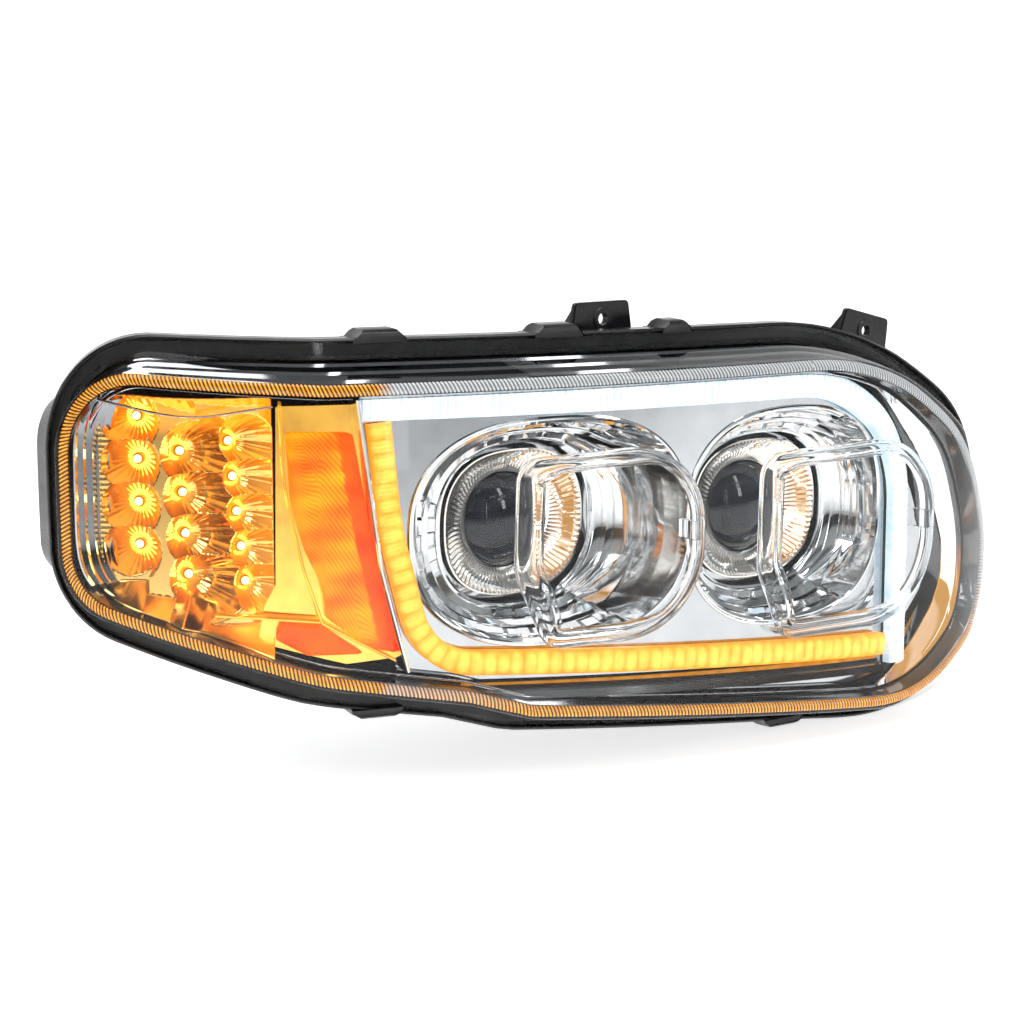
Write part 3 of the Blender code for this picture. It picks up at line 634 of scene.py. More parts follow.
def add(name, bm, look, body="housing", replaces=(), sharp=35, thick=0.0, **values):
    """Object from a mesh in millimetres, riding on a body. values are lists for its points."""
    bmesh.ops.scale(bm, vec=(MM, MM, MM), verts=bm.verts)
    bmesh.ops.recalc_face_normals(bm, faces=bm.faces)
    item = shown(name, bm, LOOKS[look], values)
    item.data.set_sharp_from_angle(angle=radians(sharp))
    if thick:
        shell = item.modifiers.new("wall", "SOLIDIFY")
        shell.thickness = thick * MM
        shell.offset = -1
    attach(item, body)
    if replaces:
        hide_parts(*replaces)
    return item


def joined(*shapes):
    """One mesh of several closed shapes."""
    every = bmesh.new()
    for shape in shapes:
        bmesh.ops.recalc_face_normals(shape, faces=shape.faces)
        part = bpy.data.meshes.new("part")
        shape.to_mesh(part)
        shape.free()
        every.from_mesh(part)
        bpy.data.meshes.remove(part)
    return every


def boolean(bm, operation, *shapes):
    """Mesh after an exact boolean with the given closed shapes."""
    objects = []
    for i, mesh_data in enumerate((bm, joined(*shapes))):
        bmesh.ops.recalc_face_normals(mesh_data, faces=mesh_data.faces)
        mesh = bpy.data.meshes.new("boolean")
        mesh_data.to_mesh(mesh)
        mesh_data.free()
        objects.append(bpy.data.objects.new("boolean", mesh))
        bpy.context.collection.objects.link(objects[-1])
    change = objects[0].modifiers.new("cut", "BOOLEAN")
    change.operation = operation
    change.solver = "EXACT"
    change.object = objects[1]
    graph = bpy.context.evaluated_depsgraph_get()
    result = bmesh.new()
    result.from_object(objects[0], graph)
    for item in objects:
        mesh = item.data
        bpy.data.objects.remove(item)
        bpy.data.meshes.remove(mesh)
    return result


# ---- lens, rim and housing

FLUTE_SIDES, FLUTE_PITCH = 14, 2.3
# Share of the way from the front of the liner to its back, and whether it is in a groove there.
LINER_GROOVES = ((0, 1), (0.05, 0), (0.2, 0), (0.22, 1), (0.3, 1), (0.32, 0), (0.5, 0), (0.52, 1),
                 (0.6, 1), (0.62, 0), (0.8, 0), (0.82, 1), (0.9, 1), (0.92, 0), (1, 0))
# Profiles of the walls inside the rim: offset or share of the reach inwards, and depth.
MARGIN_WALL = ((-8.0, 6.4), (-8.4, 11), (-8.9, 16.5), (-8.1, 16.5), (-7.4, 11), (-7.2, 7.4))
INNER_FLANK = ((0, 17.6), (0.08, 17.2), (0.25, 18.6), (0.45, 21), (0.62, 23.2), (0.6, 24.2),
               (0.3, 21), (0, 19.2))
INNER_BAND = ((0.64, 24.0), (0.8, 25.6), (1, 28.3), (0.98, 29.1), (0.8, 26.6), (0.64, 25.0))
SIDE_STEPS = ((627.2, 8), (628.2, 8), (628.2, 36), (618, 36), (618, 31.5), (620.5, 31.5),
              (620.5, 26), (623, 26), (623, 20.5), (625.2, 20.5), (625.2, 14), (627.2, 14))
EDGE_RADIUS = 1.1
CLIP_STATIONS = ((-4, 1.5, 1.0), (-4.6, 2.5, 2.6), (-3, 4, 4.2), (10, 4, 4.8), (14, 3, 3),
                 (15, 1, 0))

def outer_lens():
    inner = SKIRT_GROWTH - LENS_WALL
    loops = [face_loop(-5.5, 0.05), face_loop(-3.2, 0.4), face_loop(-1.2, 1.6),
             face_loop(0, LENS_BEVEL), skirt_loop(SKIRT_GROWTH, 0), skirt_loop(FLANGE_GROWTH, 0),
             skirt_loop(FLANGE_GROWTH, FLANGE_THICK), skirt_loop(inner, FLANGE_THICK),
             face_loop(-LENS_WALL, LENS_BEVEL + LENS_WALL), face_loop(-LENS_BEVEL - 2.5, LENS_WALL)]
    add("clear_cover", loft(loops, strips=True), "lens", replaces=["outer_lens"])


def rim_flutes():
    """Rope-like band moulded into the edge of the lens."""
    rows, ridges = [], []
    for p, side, distance in even(rounded(RIM), FLUTE_PITCH / 4, True):
        row = []
        for a in angles(FLUTE_SIDES):
            wave = sin(2 * pi * distance / FLUTE_PITCH + 4.2 * cos(a))
            q = p + side * (-4.4 + 3.0 * cos(a) + 0.2 * wave * cos(a))
            depth = 5.9 - 1.5 * sin(a) + 0.5 * cos(a) - 0.45 * wave * sin(a)
            row.append(place(q.x, q.y, depth))
            ridges.append(0.5 + 0.5 * wave)
        rows.append(row)
    add("rim_flutes", loft(rows, closed=True), "flutes", sharp=180, ridge=ridges)


def skirt_liner():
    """Grooved black wall seen through the side of the lens."""
    high, low, inside = [(face_loop(face, 8.2), skirt_loop(flange, 3))
                         for face, flange in ((-3.9, 4.6), (-5.4, 3.1), (-7.2, 1.2))]
    walls = [(low if groove else high, share) for share, groove in LINER_GROOVES]
    walls += [(inside, share) for share in (1, 0.5, 0)]
    loops = [[a.lerp(b, share) for a, b in zip(*ends)] for ends, share in walls]
    add("skirt_liner", loft(loops, closed=True), "liner", sharp=30)


def side_wall():
    """Wall inside the rim, darkened as painted shade, and the bright flank between it and the
    guide.
    """
    add("margin_wall", loft(swept(rounded(RIM), MARGIN_WALL, 4.0, True), closed=True), "deep_shade")
    # The inner band continues the flank in darkened chrome: painted shade.
    for name, profile, look in (("inner_flank", INNER_FLANK, "flank"),
                                ("inner_band", INNER_BAND, "deep_shade")):
        rows, glows = [], []
        for p, side, _ in even(rounded(RIM), 3.0, True):
            reach = 1.0 + min(max((104 - p.x) * 0.36, 0), 35)
            row = []
            for u, depth in profile:
                q = p + side * (-10.2 - reach * u)
                row.append(place(q.x, q.y, min(depth, 19.3 + 9.6 * reach / 36)))
                glows.append(0.75 * smooth((-28 - p.y) / 45) * smooth(reach / 14))
            rows.append(row)
        add(name, loft(rows, closed=True), look, glow=glows)
    rows = []
    for z in steps(-18, 82, 40):
        pull = 9 * abs((z - 32) / 50) ** 5
        rows.append([place(s - pull, z, depth) for s, depth in SIDE_STEPS])
    add("side_steps", loft(rows), "shade", sharp=25)


def housing():
    floor = FLANGE_THICK + SEAL_THICK + 2 * SEAL_GAP
    rear = floor + HOUSING_FLANGE
    inner = FLANGE_GROWTH + 0.6
    soft = EDGE_RADIUS

    def on_rear(growth, y):
        def point(s, z):
            here = place(s, z, 0, skirt(s))
            return Vector((here.x, y, here.z))
        return edge_loop(grown(RIM, growth), point, 90)

    rim = [skirt_loop(growth, extra, 90) for growth, extra in (
        (8, rear), (LIP_GROWTH - soft, rear), (LIP_GROWTH, rear - soft), (LIP_GROWTH, -3 + soft),
        (LIP_GROWTH - soft, -3), (inner + 0.5, -3), (inner, -2.5), (inner, floor),
        (8 - WALL, floor))]
    shell = loft([on_rear(-REAR_INSET - 3, REAR_WALL_Y), on_rear(-REAR_INSET, REAR_WALL_Y - 2.5),
                  *rim, on_rear(-REAR_INSET - WALL, REAR_WALL_Y - WALL)], strips=True)
    wall = REAR_WALL_Y - WALL
    neck = ((0, wall), (47, wall), (47, 3.2), (46.2, 4), (0, 4))
    hole = ((0, -30), (42, -30), (42, 30), (0, 30))
    necks, holes = [[turned(profile, 72, (x, 0, z)) for x, z, _ in LAMPS.values()]
                    for profile in (neck, hole)]
    shell = boolean(shell, "UNION", *necks, block((44, 7, 56), (0, -3.5, 0)))
    shell = boolean(shell, "DIFFERENCE", *holes)
    add("housing_shell", shell, "black", replaces=["rear_housing"])


def ear(name, centre, half_width, half_height, tilt):
    """Mounting ear with rounded edges, a hole and two gussets behind it."""
    foot, half = -2.2 * half_height, EAR_THICK / 2
    corners = ((-half_width, foot, 0), (half_width, foot, 0),
               (half_width * 0.8, half_height, 3), (-half_width * 0.8, half_height, 3))
    turn = Matrix.Rotation(radians(tilt), 3, "Y")
    front = Vector(centre) - Vector((0, half, 0))
    points = [front + turn @ Vector((p.x, 0, p.y)) for p in rounded(corners, step=10)]
    plate = prism(points, (0, EAR_THICK, 0))
    edges = [e for e in plate.edges if abs((e.verts[0].co - e.verts[1].co).y) < 1e-6]
    bmesh.ops.bevel(plate, geom=edges, offset=0.7, segments=2, affect="EDGES")
    boss = turned(((0, -half - 0.8), (6.4, -half - 0.8), (6.9, -half - 0.2), (6.9, 0), (0, 0)),
                  32, centre)
    bore = turned(((0, -9), (EAR_HOLE, -9), (EAR_HOLE, 9), (0, 9)), 32, centre)
    body = boolean(plate, "UNION", boss)
    add(f"ear_{name}", boolean(body, "DIFFERENCE", bore), "black")
    web = [Vector((0, y, z * half_height))
           for y, z in ((0, 0.7), (0, -2.1), (22, -2.1), (20, -1.6))]
    for side, label in ((-1, "left"), (1, "right")):
        at = Vector(centre) + turn @ Vector((side * half_width * 0.72 - 1, half, 0))
        gusset = prism([at + turn @ p for p in web], turn @ Vector((2, 0, 0)))
        add(f"ear_{name}_gusset_{label}", gusset, "black")


def clips():
    """Low humps that grip the flange of the lens."""
    lip = rounded(flange_line(LIP_GROWTH))
    for i, (s, side, half) in enumerate(CLIPS, 1):
        low, high = span(lip, s)
        edge = high if side > 0 else low
        rows = []
        for depth, shrink, rise in CLIP_STATIONS:
            left = [(-half + shrink * 0.4, -3), (-half + shrink, 0), (-half + shrink + 3, rise)]
            right = [(-along, up) for along, up in reversed(left)]
            row = []
            for along, up in left + right:
                here = s + along
                reach = up if side > 0 else up * 0.72
                row.append(place(here, edge + side * reach, 0, skirt(here) + depth))
            rows.append(row)
        add(f"clip_hump_{i}", loft(rows), "black", replaces=[f"lens_clip_{i}"], sharp=50)


# ---- bezel and hoops

def slab_y(x, depth):
    """y of the bezel at a given x, at a depth behind the lens."""
    low, high = 0.0, float(RIM_LENGTH)
    for _ in range(40):
        middle = (low + high) / 2
        if place(middle, 0, depth).x > x:
            low = middle
        else:
            high = middle
    return place(low, 0, depth).y


# Stairs of the bowls: share of the way out, and share of the way back to the bezel.
REEL = ((0, 0), (0.02, 0.12), (0.08, 0.14), (0.12, 0.12), (0.13, 0.01), (0.17, 0.01),
        (0.18, 0.24), (0.36, 0.3), (0.38, 0.28), (0.39, 0.2), (0.42, 0.2), (0.43, 0.46),
        (0.58, 0.54), (0.6, 0.5), (0.61, 0.42), (0.64, 0.42), (0.65, 0.7), (0.8, 0.8),
        (0.82, 0.76), (0.83, 0.7), (0.86, 0.7), (0.87, 0.96), (0.96, 1.0), (1, 1))
PETALS = ((0, 0), (0.34, 0.1), (0.68, 0.42), (1, 1))
BOWL_SPOKES, PETAL_HALF = 288, 50


def bend(table, u, sag=0.0):
    """Value at u of a chain of lines, each of which may sag."""
    for (u0, v0), (u1, v1) in zip(table, table[1:]):
        if u <= u1:
            share = (u - u0) / (u1 - u0)
            return v0 + (v1 - v0) * share - sag * 4 * share * (1 - share)
    return table[-1][1]


def bowl(name, lamp):
    """Bowl round a lamp: stepped like a film reel outwards, with three smooth petals inwards."""
    floor = lamp[2]
    radial = sorted({u for u, _ in REEL + PETALS} | {i / 24 for i in range(25)})
    spokes = []
    for a in angles(BOWL_SPOKES):
        r0, r1 = superellipse(BOWL_FLOOR, a), superellipse(BOWL_MOUTHS[name], a)
        spokes.append((a, r0, r1, slab_y(lamp[0] + r1 * cos(a), BEZEL_DEPTH)))
    rows = []
    for u in radial:
        row = []
        for a, r0, r1, edge in spokes:
            degrees = (math.degrees(a) + 180) % 360 - 180
            petal = 1 - smooth((abs(degrees) - PETAL_HALF) / 3.5)
            drop = edge - floor
            stair = bend(REEL, u) * drop
            tooth = (degrees % 15) < 6.5 and (0.18 <= u <= 0.38 or 0.65 <= u <= 0.82)
            if tooth and not 120 < abs(degrees) < 158:
                stair += min(2.6, -0.12 * drop)
            wall = bend(PETALS, u, 0.05) * drop
            y = floor + stair + (wall - stair) * petal
            row.append(polar(lamp, r0 + (r1 - r0) * u, a, y))
        rows.append(row)
    for extra, rise in ((0.8, -1.0), (1.8, -0.9), (2.4, 0.2)):
        rows.append([polar(lamp, r1 + extra, a, edge + rise) for a, _, r1, edge in spokes])
    add(f"bowl_{name}", sheet(rows, wrap=True), "chrome", sharp=22, thick=0.9)


def bezel_face():
    """Bright plate behind the guides, cut out for the two bowls."""
    corners = ((124.6, 83.5, 185), (29.8, 26.5, 135), (-3.5, -31, 50), (-3.5, -78, 48),
               (81, -117.6, 140), (360, -90, 18), (402, -78, 20), (440, -74, 3), (460, 84, 3))
    plate = slab(corners, BEZEL_DEPTH, BEZEL_DEPTH + 2.5, 80)
    for name, lamp in LAMPS.items():
        cutter = loft([oval(BOWL_MOUTHS[name], lamp, y) for y in (-240, -80)])
        plate = boolean(plate, "DIFFERENCE", cutter)
    add("bezel_face", plate, "shade", replaces=["chrome_bezel"], sharp=20)


# Across the hoop: share of its width inwards from the edge, and depth.
HOOP_PROFILE = ((0, 0.9), (-0.03, 0.1), (-0.09, -0.3), (-0.17, 0.2), (-0.26, 1.6), (-0.5, 2.1),
                (-0.74, 1.6), (-0.83, 0.2), (-0.91, -0.3), (-0.97, 0.1), (-1, 0.9), (-1, 6.5),
                (-0.93, 7.2), (-0.8, 5.2), (-0.5, 4.7), (-0.2, 5.2), (-0.07, 7.2), (0, 6.5))


def hoop(name, left, width, heading, top, bottom):
    """Clear frame in front of a bowl, wider on its outer side, on a foot on the bezel."""
    along = Vector((cos(radians(heading)), -sin(radians(heading)), 0))
    normal = Vector((-along.y, along.x, 0))
    corners = ((0, top - 4, 14), (width, top, 46), (width, bottom, 54), (18, bottom, 14),
               (-2, bottom + 44, 30))
    rows = []
    for p, side, _ in even(rounded(corners), 3.0, True):
        outer = smooth((30 - p.x) / 26)
        level = smooth((width * 0.86 - p.x) / 30)
        wide = 6.5 + 3.5 * level + 7 * outer
        row = []
        for out, depth in HOOP_PROFILE:
            q = p + side * out * wide
            deep = depth * (1 - 0.45 * outer)
            row.append(Vector((*left, 0)) + along * q.x + normal * deep + Vector((0, 0, q.y)))
        rows.append(row)
    foot = Vector((*left, (top + bottom) / 2 + 4)) + along * (width - 3.4)
    start, end = foot.y + 2, slab_y(foot.x, BEZEL_DEPTH) - 0.6
    stand = block((4, end - start, 11), (foot.x, (start + end) / 2, foot.z))
    add(f"clear_hoop_{name}", joined(loft(rows, closed=True), stand), "trim",
        replaces=[f"trim_hoop_{name}"], sharp=50)


def lower_ledge():
    """Stepped bright moulding under the amber guide."""
    path = [Vector((96 + 306 * i / 60, -101.5 + 17.5 * i / 60)) for i in range(61)]
    profile = ((4.2, 27), (2.2, 23.5), (-0.5, 23), (-1.2, 20), (-5.5, 19), (-6.5, 28))
    rows = [[place(p.x, p.y + out, depth) for out, depth in profile]
            for p, _, _ in even(path, 4.0, False)]
    add("lower_ledge", loft(rows), "shade")


# ---- light guides

def guide(name, path, half, look, node):
    """Lit bar with a crowned front and fine cross ribs."""
    across = ((-1.0, GUIDE_THICK), (-1.0, 2.2), (-0.85, 0.8), (-0.5, 0.15), (0, 0), (0.5, 0.15),
              (0.85, 0.8), (1.0, 2.2), (1.0, GUIDE_THICK))
    samples = even(rounded(path, closed=False), RIB_PITCH / 4, False)
    rows = []
    for p, side, distance in samples:
        rib = 0.22 * (1 - cos(2 * pi * distance / RIB_PITCH))
        row = []
        for w, depth in across:
            q = p + side * w * half
            row.append(place(q.x, q.y, GUIDE_DEPTH + depth + (rib if depth < 3 else 0)))
        rows.append(row)
    bm = loft(rows)
    layer = bm.loops.layers.uv.new("along")
    bm.verts.index_update()
    for face in bm.faces:
        for corner in face.loops:
            row, k = divmod(corner.vert.index, len(across))
            corner[layer].uv = (samples[row][2], 0.5 + 0.5 * across[k][0])
    add(name, bm, look, replaces=[node], sharp=60)


# ---- turn signal chamber

def led_places():
    """Distance, height and column of every turn signal lamp."""
    for column, (s, top, pitch, count, lean) in enumerate(LED_COLUMNS, 1):
        for i in range(count):
            yield s + lean * i, top - pitch * i, column


COLUMN_EDGES = (514, 559, 591, 622)
# Cups of each column: azimuth in degrees, and radius at the height CUP_TALL.
CUP_AXES = {1: (-44, 15.5), 2: (-9, 17.5), 3: (-6, 15.0)}
CUP_TALL = 17.0


def panel_depth(s):
    """Depth of the stair-stepped panel between the cups."""
    for low, high in zip(COLUMN_EDGES, COLUMN_EDGES[1:]):
        if s <= high:
            return 34 - 0.26 * (s - low)
    return 25


def shelf_height(s):
    """Lower edge of the arched roof over the cups."""
    return 73 + 11 * ((s - 556) / 56) ** 2


def floor_height(s):
    """Upper edge of the sloping floor below the cups."""
    return -37 + 24 * smooth((s - 520) / 95)


def cup_frames():
    """Apex, axis, sideways direction and focal length of every cup."""
    frames = []
    for s, z, column in led_places():
        azimuth, radius = CUP_AXES[column]
        a = radians(azimuth)
        frames.append((place(s, z, CUP_BACK - 0.8), Vector((sin(a), -cos(a), 0)),
                       Vector((cos(a), sin(a), 0)), radius * radius / (4 * CUP_TALL)))
    return frames


def dish_depth(s, z, cups):
    """Depth of the reflector behind the lens at one point, and its painted glow near lamps, reflex
    and roof.
    """
    start = place(s, z)
    heading = on_curve(s)[2]
    inward = Vector((sin(heading), cos(heading), 0))
    panel = panel_depth(s)
    depth, glow = panel, 0.0
    for apex, axis, aside, focus in cups:
        w = start - apex
        if abs(w.z) > 24:
            continue
        na, wa, wn = inward.dot(axis), w.dot(axis), w.dot(inward)
        a = 1 - na * na
        b = 2 * wn - 2 * wa * na - 4 * focus * na
        c = w.length_squared - wa * wa - 4 * focus * wa
        if (a * panel + b) * panel + c >= 0:
            continue
        root = b * b - 4 * a * c
        if root <= 0:
            continue
        t = (-b + math.sqrt(root)) / (2 * a) if a > 1e-4 else -c / b
        if t <= depth:
            continue
        hit = w + inward * t
        r = math.hypot(hit.dot(aside), hit.z)
        angle = math.atan2(hit.z, hit.dot(aside))
        ring = 0.1 * abs(sin(pi * r / 4.2)) * min(r / 5, 1)
        flute = 0.42 * abs(sin(12 * angle)) * min(r / 9, 1)
        depth = max(panel, t - flute - ring)
        glow = math.exp(-(r / 7.0) ** 2)
    if s > 614 and depth == panel:
        depth -= 0.6 * abs(sin(pi * z / 3.0))
    roof = z - shelf_height(s)
    if roof > 0:
        depth = min(depth, 37 - 1.5 * roof + 0.5 * sin(s * 0.9))
    glow = max(glow, 0.42 * smooth((548 - s) / 34),
               0.5 * smooth((z - 60) / 12) * smooth((612 - s) / 20))
    below = floor_height(s) - z
    if below > 0:
        ridge = 5 * max(0, 1 - abs(s - 566) / 9)
        depth = min(depth, 37 - 1.45 * below - ridge)
    return depth, glow


def turn_dishes():
    cups = cup_frames()
    low_edge = rounded(grown(RIM, -9))
    rows, glows = [], []
    for s in steps(COLUMN_EDGES[0], COLUMN_EDGES[-1], 190):
        low, high = span(low_edge, s)
        row = []
        for z in steps(low, min(high, 84), 210):
            depth, glow = dish_depth(s, z, cups)
            row.append(place(s, z, depth))
            glows.append(glow)
        rows.append(row)
    add("turn_dishes", sheet(rows), "dishes", replaces=["turn_reflector"], sharp=40, thick=0.8,
        glow=glows)


def along_axis(profile, azimuth, centre):
    """Turned solid that faces an azimuth, from a profile made along Y."""
    bm = turned(profile, 24, (0, 0, 0))
    bmesh.ops.rotate(bm, verts=bm.verts, cent=(0, 0, 0),
                     matrix=Matrix.Rotation(radians(azimuth), 3, "Z"))
    bmesh.ops.translate(bm, verts=bm.verts, vec=centre)
    return bm


def turn_lamps():
    dome = ((0, -5.0), (0.9, -4.8), (1.7, -4.2), (2.1, -3.2), (2.2, -1.8), (0, -1.8))
    seat = ((0, -2.2), (2.5, -2.2), (3.1, -1.6), (3.1, 0.2), (0, 0.2))
    for i, (s, z, column) in enumerate(led_places(), 1):
        facing = CUP_AXES[column][0], place(s, z, CUP_BACK - 0.4)
        add(f"lit_dome_{i:02d}", along_axis(dome, *facing), "led", replaces=[f"turn_led_{i:02d}"])
        add(f"led_seat_{i:02d}", along_axis(seat, *facing), "socket")


REFLEX_DEPTH, REFLEX_THICK, PRISM_HALF = 18, 4, 1.9


def prism_face(name, corners, node, shade):
    """Reflex lens: a plate whose front is a field of small pyramids, with a painted glow from
    shade(s, z).
    """
    outline = rounded(corners)
    first, last = min(p.x for p in outline) + 0.05, max(p.x for p in outline) - 0.05
    columns = max(8, round((last - first) / PRISM_HALF))
    probes = [span(outline, s) for s in steps(first, last, 12)]
    rows = max(6, round(max(high - low for low, high in probes) / PRISM_HALF))
    front, back, tones = [], [], []
    for i, s in enumerate(steps(first, last, columns)):
        heights = steps(*span(outline, s), rows)
        peaks = [(i + j) % 2 for j in range(rows + 1)]
        lifts = [0.75 if peak and 0 < i < columns and 0 < j < rows else 0
                 for j, peak in enumerate(peaks)]
        front.append([place(s, z, REFLEX_DEPTH - lift + 0.4) for z, lift in zip(heights, lifts)])
        back.append([place(s, z, REFLEX_DEPTH + REFLEX_THICK) for z in heights])
        # Tips of the pyramids get a painted highlight, the hollows between them painted shade.
        tones += [shade(s, z) + (0.24 if peak else -0.2) for z, peak in zip(heights, peaks)]
    bm = bmesh.new()
    grids = [[[bm.verts.new(p) for p in row] for row in grid] for grid in (front, back)]
    for grid in grids:
        for a, b in zip(grid, grid[1:]):
            bridge(bm, a, b, False)
    for end in (0, -1):
        bridge(bm, *[grid[end] for grid in grids], False)
        bridge(bm, *[[row[end] for row in grid] for grid in grids], False)
    add(name, bm, "reflex", replaces=[node], sharp=10, tone=tones + tones)


def reflex_tone(s, z):
    """Painted glow of the reflex: yellow to orange in slanted patches, a red band along the inner
    edge.
    """
    border = 455.1 + (z - 1.5) * (0.2255 if z < 1.5 else 0.1754)
    if s - border < 9.5:
        return 0.14
    patch = 0.5 + 0.5 * sin(0.16 * z + 0.11 * (s - border))
    return 0.46 + 0.34 * patch + 0.1 * sin(0.5 * z)


def reflexes():
    prism_face("side_prisms", ((506, 65.8, 2), (466.2, 64.8, 2), (455.1, 1.5, 0),
                               (441.5, -58.8, 1), (457.7, -54.9, 2), (483.3, -36.6, 2),
                               (486, -18, 10), (496, 2, 30), (504, 28.5, 60)),
               "side_reflex", reflex_tone)
    prism_face("lower_prisms", ((513.1, -39.2, 1), (486.5, -40, 1), (460, -58, 1),
                                (494.4, -57.4, 1), (513.2, -47.9, 1)),
               "lower_reflex", lambda s, z: 0.2)


def strip(name, path, half, front, back, look):
    """Thin upright strip along a path, from one depth to another."""
    profile = ((half * 0.4, front), (-half * 0.4, front), (-half, front + 1), (-half, back),
               (half, back), (half, front + 1))
    return add(name, loft(swept(rounded(path, closed=False), profile, 3.0, False)), look)


def divider():
    """Wall between the two chambers, the curved ribs beside the reflexes, and the arched roof."""
    wall = strip("divider_wall", ((465.2, 84, 0), (462, 60, 60), (453, -10, 60), (438, -68, 0)),
                 1.2, 8, 33, "chrome")
    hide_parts("chamber_divider")
    strip("divider_rib", ((509, 82, 0), (508, 40, 160), (497, -8, 60), (486.5, -38, 0)),
          0.9, 11, 30, "amber_chrome")
    strip("arc_shelf", ((616, 84, 0), (562, 74, 120), (513, 81, 0)), 0.7, 11, 13.5, "chrome")
    strip("star_rib_left", ((548, -33.5, 0), (520, -35, 60), (487.5, -38, 0)),
          0.8, 13, 20, "amber_chrome")
    strip("star_rib_right", ((486.5, -38.5, 0), (466, -50, 60), (444, -62, 0)),
          0.8, 13, 20, "amber_chrome")
    corners = ((513, 80, 3), (464, 80, 0), (455, -10, 0), (440, -62, 0), (470, -64, 2),
               (524, -50, 2), (520, -30, 10), (502, 0, 30))
    add("divider_plate", slab(corners, 22.4, 24.2, 60), "amber_chrome")


# ---- projectors

DOME_RISE, DOME_STEPS, DOME_SWEEP = 14.5, 14, 1.2
CONE_FLUTES, FLUTE_SAMPLES = 92, 4


def projector(name, lamp):
    x, z, floor = lamp
    curve = []
    for t in steps(0, DOME_SWEEP, DOME_STEPS):
        rise = (cos(t) - cos(DOME_SWEEP)) / (1 - cos(DOME_SWEEP))
        curve.append((LENS_RADIUS * sin(t) / sin(DOME_SWEEP), -2.5 - DOME_RISE * rise))
    dome = turned([*curve, (LENS_RADIUS, -0.3), (0, -0.3)], 96, (x, floor + LENS_BACK, z))
    add(f"lens_dome_{name}", dome, "glass", body="beam", replaces=[f"projector_lens_{name}"])
    shroud(name, lamp)


def shroud(name, lamp):
    """Fluted cone between the projector lens and the bowl floor, and the flange behind it."""
    floor = lamp[2]
    back = floor + LENS_BACK - 0.3
    half = FLUTE_SAMPLES / 2
    plan = [((28.3, 28.3), back - 7.0, 0.0, 2.0), ((30.5, 30.5), back - 8.6, 0.0, 2.0),
            ((34.5, 33), back - 9.6, 0.35, 2.1), ((41, 36.6), back - 12.4, 0.9, 2.3),
            ((46, 39.6), back - 14.8, 1.0, 2.5), ((48.9, 41.2), floor + 1.3, 0.5, 2.5),
            ((49.6, 41.6), floor + 0.8, 0.0, 2.5), ((50.8, 42.4), floor + 0.8, 0.0, 2.5),
            ((50.8, 42.4), floor + 2.2, 0.0, 2.5), ((39, 36), back - 5, 0.0, 2.1),
            ((35, 35), back, 0.0, 2.0), ((32.4, 32.4), back, 0.0, 2.0),
            ((32.2, 32.2), back - 5, 0.0, 2.0)]
    rows, glows = [], []
    for size, y, ripple, power in plan:
        row = []
        for i, a in enumerate(angles(CONE_FLUTES * FLUTE_SAMPLES)):
            lit = smooth((1.25 - abs((a + pi) % (2 * pi) - pi)) / 0.6)
            glows.append(lit * 0.6 * min(ripple, 0.9))
            wave = ripple * (abs((i % FLUTE_SAMPLES) - half) / half - 0.5)
            row.append(polar(lamp, superellipse(size, a, power) + wave, a, y + wave * 0.5))
        rows.append(row)
    add(f"fluted_cone_{name}", loft(rows, closed=True), "cone", body="beam",
        replaces=[f"lens_shroud_{name}"], sharp=25, glow=glows)
    ring = [oval(size, lamp, floor + y) for size, y in (
        ((50.2, 41.8), 4.4), ((59, 50.5), 5.4), ((59, 50.5), 6.4), ((50.2, 41.8), 6.4))]
    add(f"cone_flange_{name}", loft(ring, closed=True), "shade", body="beam")


# ---- carried-over nodes

def finish_nodes():
    """Better materials on the CAD nodes that stay."""
    kept = {"lens_seal": "rubber", "vent_cap": "rubber", "driver_module": "cast",
            "power_socket": "rear", "aim_knob": "grey", "aim_screw": "steel",
            "beam_carrier": "rear", "low_beam_shield": "cast", "running_light_board": "board",
            "signal_light_board": "board"}
    kept.update({f"turn_led_board_{i}": "board" for i in (1, 2, 3)})
    for name in LAMPS:
        kept.update({f"rear_cover_{name}": "rear", f"cover_seal_{name}": "rubber",
                     f"bulb_{name}": "steel", f"projector_bowl_{name}": "cast",
                     f"pivot_stud_{name}": "steel"})
    for node, look in kept.items():
        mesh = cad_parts[node].data
        mesh.materials.clear()
        mesh.materials.append(LOOKS[look].material)


# ---- stage, lights and camera

TARGET = Vector((-93.1, -148.8, 10.8)) * MM
AZIMUTH, ELEVATION, DISTANCE = -38, 9.5, 1.408
FLOOR_GAP = 0.0005
STAGE_HALF_WIDTH = 12
SWEEP_Y, SWEEP_RADIUS, SWEEP_STEPS = 1.6, 1.2, 12
# The floor: distance behind the part in metres, and how bright it is.
FLOOR_LIGHT = ((-4.0, 0.0), (-1.3, 0.0), (-1.0, 0.25), (-0.8, 0.8), (-0.62, 1.0), (0.4, 1.0),
               (SWEEP_Y, 1.0))
# Softboxes: azimuth, elevation, distance, size and power.
SOFTBOXES = {"key": (-78, 42, 1.7, (0.5, 0.9), 9), "front": (22, 24, 2.2, (0.22, 1.3), 6),
             "side": (-8, 8, 2.4, (0.10, 1.4), 3), "top": (-20, 80, 1.5, (1.8, 0.5), 12)}
# Bands of light round the room: height from -1 to 1, and brightness.
WORLD_BANDS = ((-1.0, 0.12), (-0.1, 0.08), (0.0, 0.02), (0.12, 0.02), (0.2, 0.3), (0.5, 0.36),
               (0.62, 0.05), (0.8, 0.25))


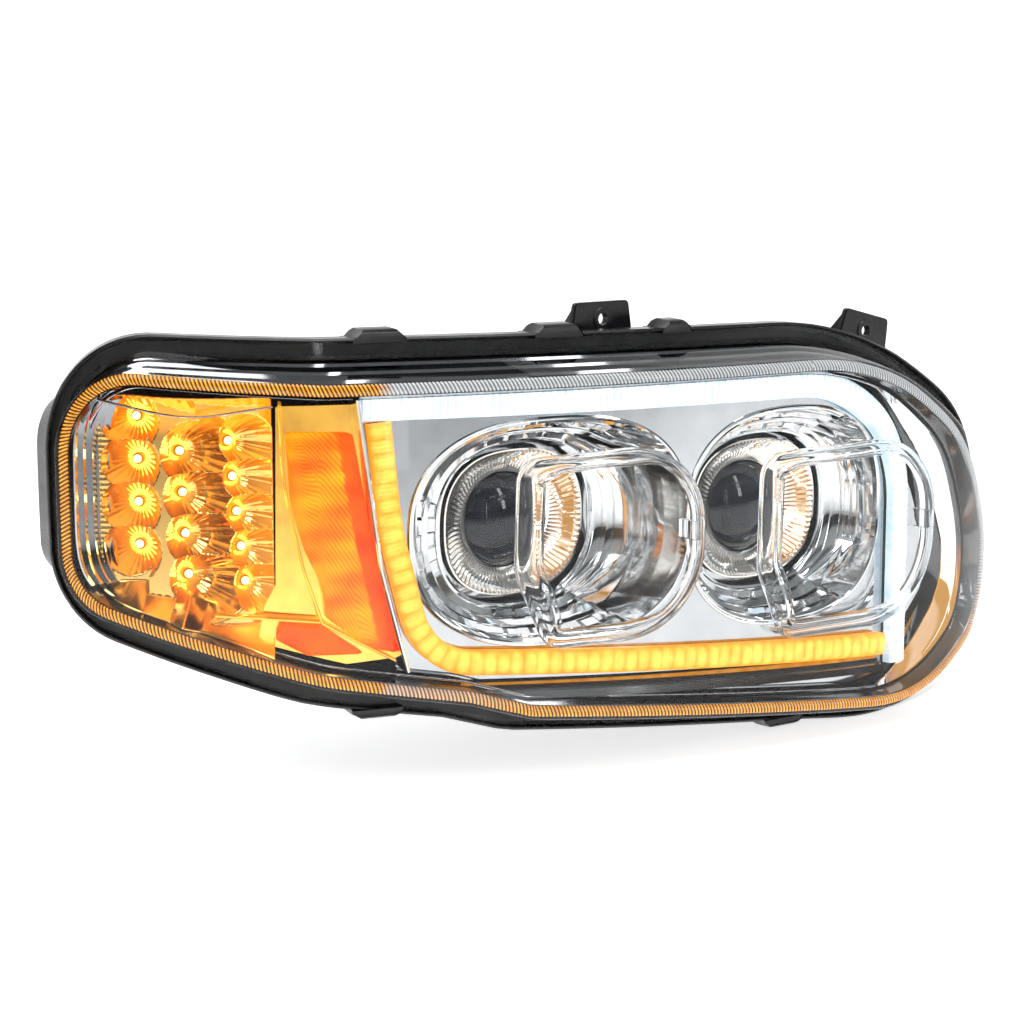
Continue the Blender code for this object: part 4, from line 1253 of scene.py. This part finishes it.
def stage():
    """Pale floor that darkens towards the camera and sweeps up into a bright backdrop."""
    low = CAD_BOX[0][2] - FLOOR_GAP
    profile = [(y, low, share) for y, share in FLOOR_LIGHT]
    for k in range(1, SWEEP_STEPS + 1):
        a = pi / 2 * k / SWEEP_STEPS
        profile.append((SWEEP_Y + SWEEP_RADIUS * sin(a),
                        low + SWEEP_RADIUS * (1 - cos(a)), 1.0))
    profile.append((SWEEP_Y + SWEEP_RADIUS, low + 4, 1.0))
    turn = Matrix.Rotation(radians(AZIMUTH), 3, "Z")
    rows = [[turn @ Vector((x, y, z)) for y, z, _ in profile]
            for x in (-STAGE_HALF_WIDTH, STAGE_HALF_WIDTH)]
    look = Look("pale_floor").set(Roughness=0.75)
    look.speckle(3, (0.86, 0.86, 0.86), (0.9, 0.9, 0.9))
    look.glow(look.attribute("lit"), ((0.0, (0.06, 0.06, 0.06)), (1.0, (1, 1, 1))), 0.72)
    lit = [share for _, _, share in profile] * 2
    shown("backdrop", sheet(rows), look, {"lit": lit})


def aimed(name, data, azimuth, elevation, distance):
    """Object that faces the target from a direction in degrees."""
    item = bpy.data.objects.new(name, data)
    a, e = radians(azimuth), radians(elevation)
    away = Vector((sin(a) * cos(e), -cos(a) * cos(e), sin(e)))
    item.location = TARGET + away * distance
    item.rotation_euler = away.to_track_quat("Z", "Y").to_euler()
    bpy.context.collection.objects.link(item)
    return item


def lights():
    for name, (azimuth, elevation, distance, size, power) in SOFTBOXES.items():
        data = bpy.data.lights.new(name, "AREA")
        data.shape = "RECTANGLE"
        data.size, data.size_y = size
        data.energy = power
        aimed(name, data, azimuth, elevation, distance)
    world = bpy.data.worlds.new("studio")
    world.use_nodes = True
    nodes, links = world.node_tree.nodes, world.node_tree.links
    split = nodes.new("ShaderNodeSeparateXYZ")
    links.new(nodes.new("ShaderNodeTexCoord").outputs["Generated"], split.inputs["Vector"])
    bands = nodes.new("ShaderNodeValToRGB")
    fill_ramp(bands.color_ramp, [((height + 1) / 2, (level * 0.95, level * 0.98, level))
                                 for height, level in WORLD_BANDS])
    half = nodes.new("ShaderNodeMapRange")
    half.inputs["From Min"].default_value = -1.0
    links.new(split.outputs["Z"], half.inputs["Value"])
    links.new(half.outputs["Result"], bands.inputs["Fac"])
    links.new(bands.outputs["Color"], nodes["Background"].inputs["Color"])
    bpy.context.scene.world = world
    bpy.context.scene.view_settings.view_transform = "Standard"


def camera():
    data = bpy.data.cameras.new("camera")
    data.lens = 86.5
    data.sensor_width = 36
    bpy.context.scene.camera = aimed("camera", data, AZIMUTH, ELEVATION, DISTANCE)


def build():
    outer_lens()
    rim_flutes()
    skirt_liner()
    side_wall()
    housing()
    clips()
    for name, ear_size in EARS.items():
        ear(name, *ear_size)
    bezel_face()
    for name, lamp in LAMPS.items():
        bowl(name, lamp)
        projector(name, lamp)
    hoop("outboard", (-114, -182.5), 120, 12, 50, -63)
    hoop("inboard", (50, -206.5), 138, 4, 41, -76)
    lower_ledge()
    guide("white_bar", DRL_PATH, 8, "white_guide", "running_light_guide")
    guide("amber_bar", SIGNAL_PATH, 7, "amber_guide", "signal_light_guide")
    turn_dishes()
    turn_lamps()
    reflexes()
    divider()
    finish_nodes()
    stage()
    lights()
    camera()


build()
